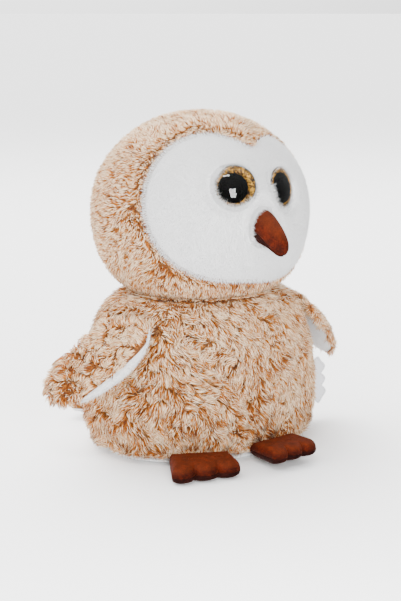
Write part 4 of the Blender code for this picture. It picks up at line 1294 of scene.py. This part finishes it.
class OWL_OT_wings(bpy.types.Operator):
    """Make both wings: an outer face with long pile and a white lining that shows along the front edge"""

    bl_idname = "owl.wings"
    bl_label = "Wings"

    def execute(self, context):
        owl = context.scene.plush_owl
        pile = owl.pile
        backing, fur = tan_plush(owl.colours)
        lining, white = white_plush(owl.colours)
        for name, side in SIDES.items():
            place = wing_frame(name)
            sizes = (WING_LENGTH, WING_HALF_WIDTH, WING_HALF_THICKNESS, (-side * WING_SWEEP, 0.0))
            whole = placed(round_form(WING_SHARES, sizes), place)
            heart = moved(place, np.array((-side * 0.014, 0, 0.040)))
            inset = 0.0026
            # The front edge is at local x = side and the outer face looks along -Y, so its angles run from
            # half a turn to a whole one. On the left wing the long pile comes round the front edge instead,
            # and on the right wing the lining shows there in a rim that tapers to its ends.
            seams = WING_SEAMS[name]

            def outer_face(u, v, whole=whole, seams=seams):
                start, end = np.moveaxis(spline(seams, v), -1, 0)
                return whole(start + (end - start) * u, v)

            def inner_face(u, v, whole=whole, seams=seams):
                start, end = np.moveaxis(spline(seams, v), -1, 0)
                return whole(end - 1 + (start - end + 1) * u, 0.02 + 0.98 * v)

            outer = two_sided(f"{name}_wing_outer_skin", outer_face, 0, 1, heart, inset, 40, 40)
            settle(outer, name + "_wing", backing, "tan_plush", [name + "_wing_outer"])
            inner = two_sided(f"{name}_wing_inner_skin", inner_face, 0, 1, heart, inset, 40, 40)
            settle(inner, name + "_wing", lining, "white_plush", [name + "_wing_inner"])
            down = np.array(place)[:3, 2]
            across = np.array(place)[:3, 0] * -side
            from_front, along = np.array(WING_PARTINGS).T
            partings = outer_face(from_front if side < 0 else 1 - from_front, along)

            def comb(point, normal, place=place, down=down, across=across, partings=partings):
                """Down the wing and away from the partings, but up over the root seam close to it."""
                swirl = 0.7 * ripples(point, 0.040, 15) + 0.6 * ripples(point, 0.015, 16)
                lay = combed(normal, down + 0.5 * across + 0 * point, swirl)
                off, strong = parted(point, partings, 0.0100, 0.6)
                lay = lay * (1 - strong[..., None]) + unit(off) * 1.8 * strong[..., None]
                along = (point - np.array(place)[:3, 3]) @ down
                root = smooth_step(0.009, 0.002, along)[..., None]
                return lay * (1 - root) - down * root * 1.2

            def tone(point, partings=partings):
                """Nearly all strands are dyed in the partings, and few elsewhere."""
                burst = parted(point, partings, 0.0110, 0.6)[1]
                return 0.16 + 0.16 * ripples(point, 0.010, 25) + 0.85 * burst

            look = (pile.limb, 1.5, 34, 66)
            coat = long_pile(
                f"{name}_wing_fur", outer_face, heart, inset, look, pile, comb, tone,
                grid=(60, 60), seed=40 + side,
            )
            settle(coat, name + "_wing", fur, "tan_plush")
            look = (pile.short * 0.85, 1.4, 48, 0.00025)
            nap = short_pile(
                f"{name}_wing_nap", inner_face, heart, inset, look, lambda p, n, down=down: down + 0 * p,
                grid=(60, 60), seed=60 + side,
            )
            settle(nap, name + "_wing", white, "white_plush")
        return {"FINISHED"}


class OWL_OT_feet(bpy.types.Operator):
    """Make both velvet feet with their three toes"""

    bl_idname = "owl.feet"
    bl_label = "Feet"

    def execute(self, context):
        owl = context.scene.plush_owl
        # The feet's upper velvet takes a painted highlight where it faces up.
        top = kept_material("rust velvet", velvet, owl.colours.velvet, 0.06)
        # The soles are a darker copy of the velvet, which paints the shade under the feet.
        under = kept_material("dark velvet", velvet, owl.colours.velvet_painted_shade, 0.0)
        for name in SIDES:
            place = flap_frame(name + "_foot_hinge")
            # The nearer foot is larger, and its toes reach further on one side than on the other.
            sizes, slant = (FAR_FOOT, 0.0) if name == "left" else (NEAR_FOOT, 0.20)
            for piece, side, crease, paint, slot in (
                ("upper", 1, 0.12, top, "rust_velvet"),
                ("sole", -1, 0.10, under, "dark_velvet"),
            ):
                flat = flap_surface(sizes, side, crease, FOOT_SEAM)

                def slanted(u, v, flat=flat, slant=slant):
                    """The flap with its toes drawn out by a share of their place across it."""
                    point = flat(u, v)
                    reach = smooth_step(0.0, 0.030, point[..., 1])
                    point[..., 1] += slant * point[..., 0] * reach
                    return point

                made = flap_panel(f"{name}_foot_{piece}_velvet", placed(slanted, place), place)
                settle(made, name + "_foot", paint, slot, [f"{name}_foot_{piece}"])
        return {"FINISHED"}


class OWL_OT_tail(bpy.types.Operator):
    """Make the tail: a lobed flap with long pile above and a white lining below"""

    bl_idname = "owl.tail"
    bl_label = "Tail"

    def execute(self, context):
        owl = context.scene.plush_owl
        pile = owl.pile
        backing, fur = tan_plush(owl.colours)
        lining, white = white_plush(owl.colours)
        place = flap_frame("tail_hinge")
        heart = moved(place, np.array((0, 0.014, 0)))
        root, half, reach, thick, rounding, lobes = TAIL
        inner = (root - 0.002, half - 0.002, reach - 0.002, thick - 0.0050, rounding - 0.001, lobes)
        out = np.array(place)[:3, 1]
        upper, under = [placed(flap_surface(inner, side, 0.35), place) for side in (1, -1)]
        for piece, surface, paint, slot in (
            ("upper", upper, backing, "tan_plush"),
            ("under", under, lining, "white_plush"),
        ):
            skin = flap_panel(f"tail_{piece}_skin", surface, place)
            settle(skin, "tail", paint, slot, [f"tail_{piece}"])

        def comb(point, normal):
            """Out along the tail, in swirls."""
            return combed(normal, out + 0 * point, 0.5 * ripples(point, 0.020, 17))

        def tone(point):
            return 0.36 + 0.14 * ripples(point, 0.016, 26)

        look = (pile.limb * 0.8, 1.2, 38, 74)
        coat = long_pile("tail_fur", upper, heart, 0.0, look, pile, comb, tone, grid=(160, 40), seed=80)
        settle(coat, "tail", fur, "tan_plush")
        look = (pile.short * 0.7, 1.0, 60, 0.00026)
        nap = short_pile(
            "tail_nap", under, heart, 0.0, look, lambda p, n: out + 0 * p, grid=(160, 40), seed=81
        )
        settle(nap, "tail", white, "white_plush")
        return {"FINISHED"}


def flap_panel(name, surface, place):
    """A closed panel of a flap: its face from the middle out to the edge, and its flat seam side."""
    u, v = np.meshgrid(np.linspace(0, 1, 160, endpoint=False), np.linspace(0, 1, 26) ** 0.6)
    face = surface(u, v)
    rows = np.linspace(0.95, 0.1, 5)[:, None, None]
    rim = face[-1]
    back = rim.mean(0) + (rim - rim.mean(0)) * rows
    made = closed_form(name, np.concatenate([face, back]))
    flip = np.array(place)[:3, 2] @ (face[0].mean(0) - rim.mean(0)) > 0
    if flip:
        made.data.flip_normals()
    return made


def label_bend(flat):
    """How far the label bulges at points in its plane: 1.4 mm times a sine along it and a cosine up it."""
    return 0.0014 * np.sin(flat[..., 0] / LABEL_WIDTH * 2.4) * np.cos(flat[..., 1] / LABEL_HEIGHT * 4)


class OWL_OT_label(bpy.types.Operator):
    """Make the sewn label: a plain folded ribbon with a scalloped edge"""

    bl_idname = "owl.label"
    bl_label = "Label"

    def execute(self, context):
        owl = context.scene.plush_owl
        satin = kept_material("woven satin ribbon", label_satin, owl.colours)
        bearing = math.radians(LABEL_BEARING)
        out = np.array((math.sin(bearing), -math.cos(bearing), 0.0))
        normal = np.array((out[1], -out[0], 0.0))
        root = label_root()
        t = np.linspace(0, 1, 61)[:-1]
        scallop = LABEL_HEIGHT / 3
        depth = scallop * 0.32
        # Out along the bottom, up the far side and back along the top, in arcs of one scallop each.
        far, top = LABEL_WIDTH - depth, LABEL_HEIGHT - depth
        wave = depth * np.abs(np.sin(3 * np.pi * t))
        x = np.concatenate([far * t, far + wave, far * (1 - t), 0 * t])
        y = np.concatenate([depth - wave, depth + (top - depth) * t, top + wave, top + (depth - top) * t])
        middle = np.array((far * 0.4, LABEL_HEIGHT / 2))
        edge = np.stack([x, y], -1)
        rows = []
        for share_out, lift in ((0.02, 1.0), (0.5, 1.0), (0.9, 1.0), (0.985, 0.75), (1.0, 0.0)):
            row = middle + (edge - middle) * share_out
            rows.append(np.concatenate([row, np.full((len(edge), 1), lift)], -1))
        rows += [row * (1, 1, -1) for row in rows[-2::-1]]
        flat = np.stack(rows)
        bend = label_bend(flat)
        thick = flat[..., 2] * 0.0005
        points = root + flat[..., :1] * out + np.stack([0 * bend, 0 * bend, flat[..., 1]], -1)
        points = points + (thick + bend)[..., None] * normal
        label = closed_form("side_label_ribbon", points)
        settle(label, "label", satin, "label_cloth", ["side_label"])
        self.stitches(middle + (edge - middle) * (0.90, 0.92), root, out, normal)
        return {"FINISHED"}

    def stitches(self, line, root, out, normal):
        """A row of sewing stitches along a line on both faces of the label, each a tube with pointed ends."""
        run = np.concatenate([[0], np.cumsum(np.linalg.norm(np.diff(line, axis=0), axis=1))])
        at = np.arange(0.001, run[-1] - 0.001, 0.0026)
        first = np.stack([np.interp(at, run, line[:, k]) for k in (0, 1)], -1)
        last = np.stack([np.interp(at + 0.0016, run, line[:, k]) for k in (0, 1)], -1)
        a = np.linspace(0, 2 * np.pi, 6, endpoint=False)
        faces, points = [], []
        for face in (1, -1):
            for low_end, high_end in zip(first, last):
                t = np.linspace(0, 1, 5)[:, None]
                spot = low_end * (1 - t) + high_end * t
                rise = face * (0.0005 + 0.0002 * np.sin(np.pi * t[:, 0])) + label_bend(spot)
                centre = root + spot[:, :1] * out + spot[:, 1:] * (0, 0, 1) + rise[:, None] * normal
                way = unit((high_end - low_end)[:1] * out + (high_end - low_end)[1:] * (0, 0, 1))
                aside = np.cross(way, normal)
                wide = 0.00028 * np.sin(np.pi * (0.1 + 0.8 * t))
                ring = np.cos(a)[None, :, None] * aside + np.sin(a)[None, :, None] * normal * 0.6
                faces.append(tube_faces(5, 6, 30 * len(points)))
                points.append((centre[:, None] + wide[:, :, None] * ring).reshape(-1, 3))
        thread = made_mesh("side_label_stitches", np.vstack(points), [np.vstack(f) for f in zip(*faces)])
        cotton = kept_material("white sewing thread", stuffing, linear("#C9CAD0"), 1500.0)
        settle(thread, "label", cotton, "label_cloth")


class OWL_OT_inside(bpy.types.Operator):
    """Give the hidden pieces inside the toy their materials"""

    bl_idname = "owl.inside"
    bl_label = "Inside"

    def execute(self, context):
        fibre = kept_material("polyester fibre fill", stuffing, linear("#F2F2F0"), 240.0)
        paints = {
            "_filling": fibre,
            "_pouch": kept_material("plain cotton pouch", stuffing, linear("#DCD8CC"), 900.0),
            "_stem": kept_material("glossy black plastic", moulded, linear("#040404"), 0.12),
            "_washer": kept_material("white polypropylene", moulded, linear("#E6E6E2"), 0.45),
        }
        for ending, paint in paints.items():
            for name, part in frame["nodes"].items():
                if name.endswith(ending):
                    for slot in part.material_slots:
                        slot.material = paint
        return {"FINISHED"}


class OWL_OT_stage(bpy.types.Operator):
    """Make the pale floor, the soft lights, the sky and the camera"""

    bl_idname = "owl.stage"
    bl_label = "Stage"

    def execute(self, context):
        stage = context.scene.plush_owl.stage
        scene = context.scene
        a = np.linspace(0, 2 * np.pi, 64, endpoint=False)
        ring = np.stack([np.cos(a), np.sin(a), 0 * a], -1)
        floor = made_mesh("floor", np.vstack([ring * 90, [(0, 0, 0)]]), [self.fan(64)])
        paint, tree, shader = material("matt white studio floor", Roughness=0.9)
        shader.inputs["Base Color"].default_value = tuple(stage.floor)
        floor.data.materials.append(paint)
        # The domes would mirror the floor at a low angle, which paints the far eye grey.
        floor.visible_glossy = False
        bearing = math.radians(CAMERA_BEARING)
        back = np.array((-math.sin(bearing), -math.cos(bearing), 0.0))
        up = np.array((0.0, 0.0, 1.0))
        # The first two softboxes stand where the nearer eye mirrors them as its two highlights.
        for name, place, aim, wide, tall in (
            ("front_softbox", (-0.230, -0.742, 0.253), (-0.010, -0.040, 0.190), 0.169, 0.268),
            ("strip_softbox", (-0.365, -0.520, 0.782), (-0.010, -0.040, 0.180), 0.285, 0.082),
        ):
            power = stage.glare * math.pi * wide * tall
            self.lamp(scene, name, np.array(place), np.array(aim), wide, tall, power)
        self.lamp(scene, "cove_softbox", up * 1.7 - back * 1.3, up * 0.1, 2.2, 1.2, stage.cove)
        world = bpy.data.worlds.new("studio")
        scene.world = world
        world.use_nodes = True
        tree = world.node_tree
        way = node(tree, "ShaderNodeTexCoord")
        split = node(tree, "ShaderNodeSeparateXYZ", {"Vector": way.outputs["Generated"]})
        # The room is brightest behind the owl on its right, so that its far eye mirrors little.
        side = node(tree, "ShaderNodeMath", {0: split.outputs["X"], 1: -0.5}, operation="MULTIPLY")
        inputs = {0: split.outputs["Y"], 1: side.outputs["Value"]}
        depth = node(tree, "ShaderNodeMath", inputs, operation="ADD")
        inputs = {
            "Value": depth.outputs["Value"],
            "From Min": -0.2,
            "From Max": 0.9,
            "To Min": stage.front_sky,
            "To Max": stage.back_sky,
        }
        bright = node(tree, "ShaderNodeMapRange", inputs, interpolation_type="SMOOTHSTEP")
        # By the horizon the backdrop is as bright as the far floor, and it brightens towards the top.
        climb = node(tree, "ShaderNodeMapRange", {"Value": split.outputs["Z"], "To Min": 0.55, "To Max": 2.0})
        inputs = {0: bright.outputs["Result"], 1: climb.outputs["Result"]}
        glow = node(tree, "ShaderNodeMath", inputs, operation="MULTIPLY")
        tree.nodes["Background"].inputs["Color"].default_value = (1, 1, 1, 1)
        tree.links.new(glow.outputs["Value"], tree.nodes["Background"].inputs["Strength"])
        lens = bpy.data.cameras.new("camera")
        lens.lens = FOCAL_PIXELS / PICTURE_PIXELS * lens.sensor_width
        camera = bpy.data.objects.new("camera", lens)
        scene.collection.objects.link(camera)
        camera.location = back * CAMERA_DISTANCE + up * CAMERA_HEIGHT
        look = Vector((0, 0, CAMERA_AIM)) - camera.location
        camera.rotation_euler = look.to_track_quat("-Z", "Y").to_euler()
        scene.camera = camera
        return {"FINISHED"}

    def lamp(self, scene, name, place, aim, wide, tall, power):
        """A rectangular area light that looks at a point, and that the camera doesn't see."""
        light = bpy.data.lights.new(name, "AREA")
        light.shape = "RECTANGLE"
        light.size, light.size_y, light.energy = wide, tall, power
        made = bpy.data.objects.new(name, light)
        scene.collection.objects.link(made)
        made.location = place
        made.rotation_euler = Vector(aim - place).to_track_quat("-Z", "Y").to_euler()
        made.visible_camera = False

    def fan(self, count):
        """Triangles between the corners of a ring and the point after the last."""
        here = np.arange(count)
        return np.stack([here, (here + 1) % count, np.full(count, count)], -1)


STEPS = ("torso", "head", "eyes", "beak", "wings", "feet", "tail", "label", "inside", "stage")


class OWL_PT_panel(bpy.types.Panel):
    """The owl's panel in the sidebar of the 3D view."""

    bl_idname = "OWL_PT_panel"
    bl_label = "Plush Owl"
    bl_space_type = "VIEW_3D"
    bl_region_type = "UI"
    bl_category = "Plush Owl"

    def draw(self, context):
        owl = context.scene.plush_owl
        for group in (owl.colours, owl.pile, owl.eyes, owl.stage):
            box = self.layout.box()
            for name in group.__annotations__:
                box.prop(group, name)
        for step in STEPS:
            self.layout.operator("owl." + step)


CLASSES = (
    OwlColours, OwlPile, OwlEyes, OwlStage, OwlSettings, OWL_OT_torso, OWL_OT_head, OWL_OT_eyes, OWL_OT_beak,
    OWL_OT_wings, OWL_OT_feet, OWL_OT_tail, OWL_OT_label, OWL_OT_inside, OWL_OT_stage, OWL_PT_panel,
)


def register():
    for kind in CLASSES:
        bpy.utils.register_class(kind)
    bpy.types.Scene.plush_owl = PointerProperty(type=OwlSettings)


def unregister():
    del bpy.types.Scene.plush_owl
    for kind in reversed(CLASSES):
        bpy.utils.unregister_class(kind)


def main():
    register()
    for step in STEPS:
        getattr(bpy.ops.owl, step)()


if __name__ == "__main__":
    main()
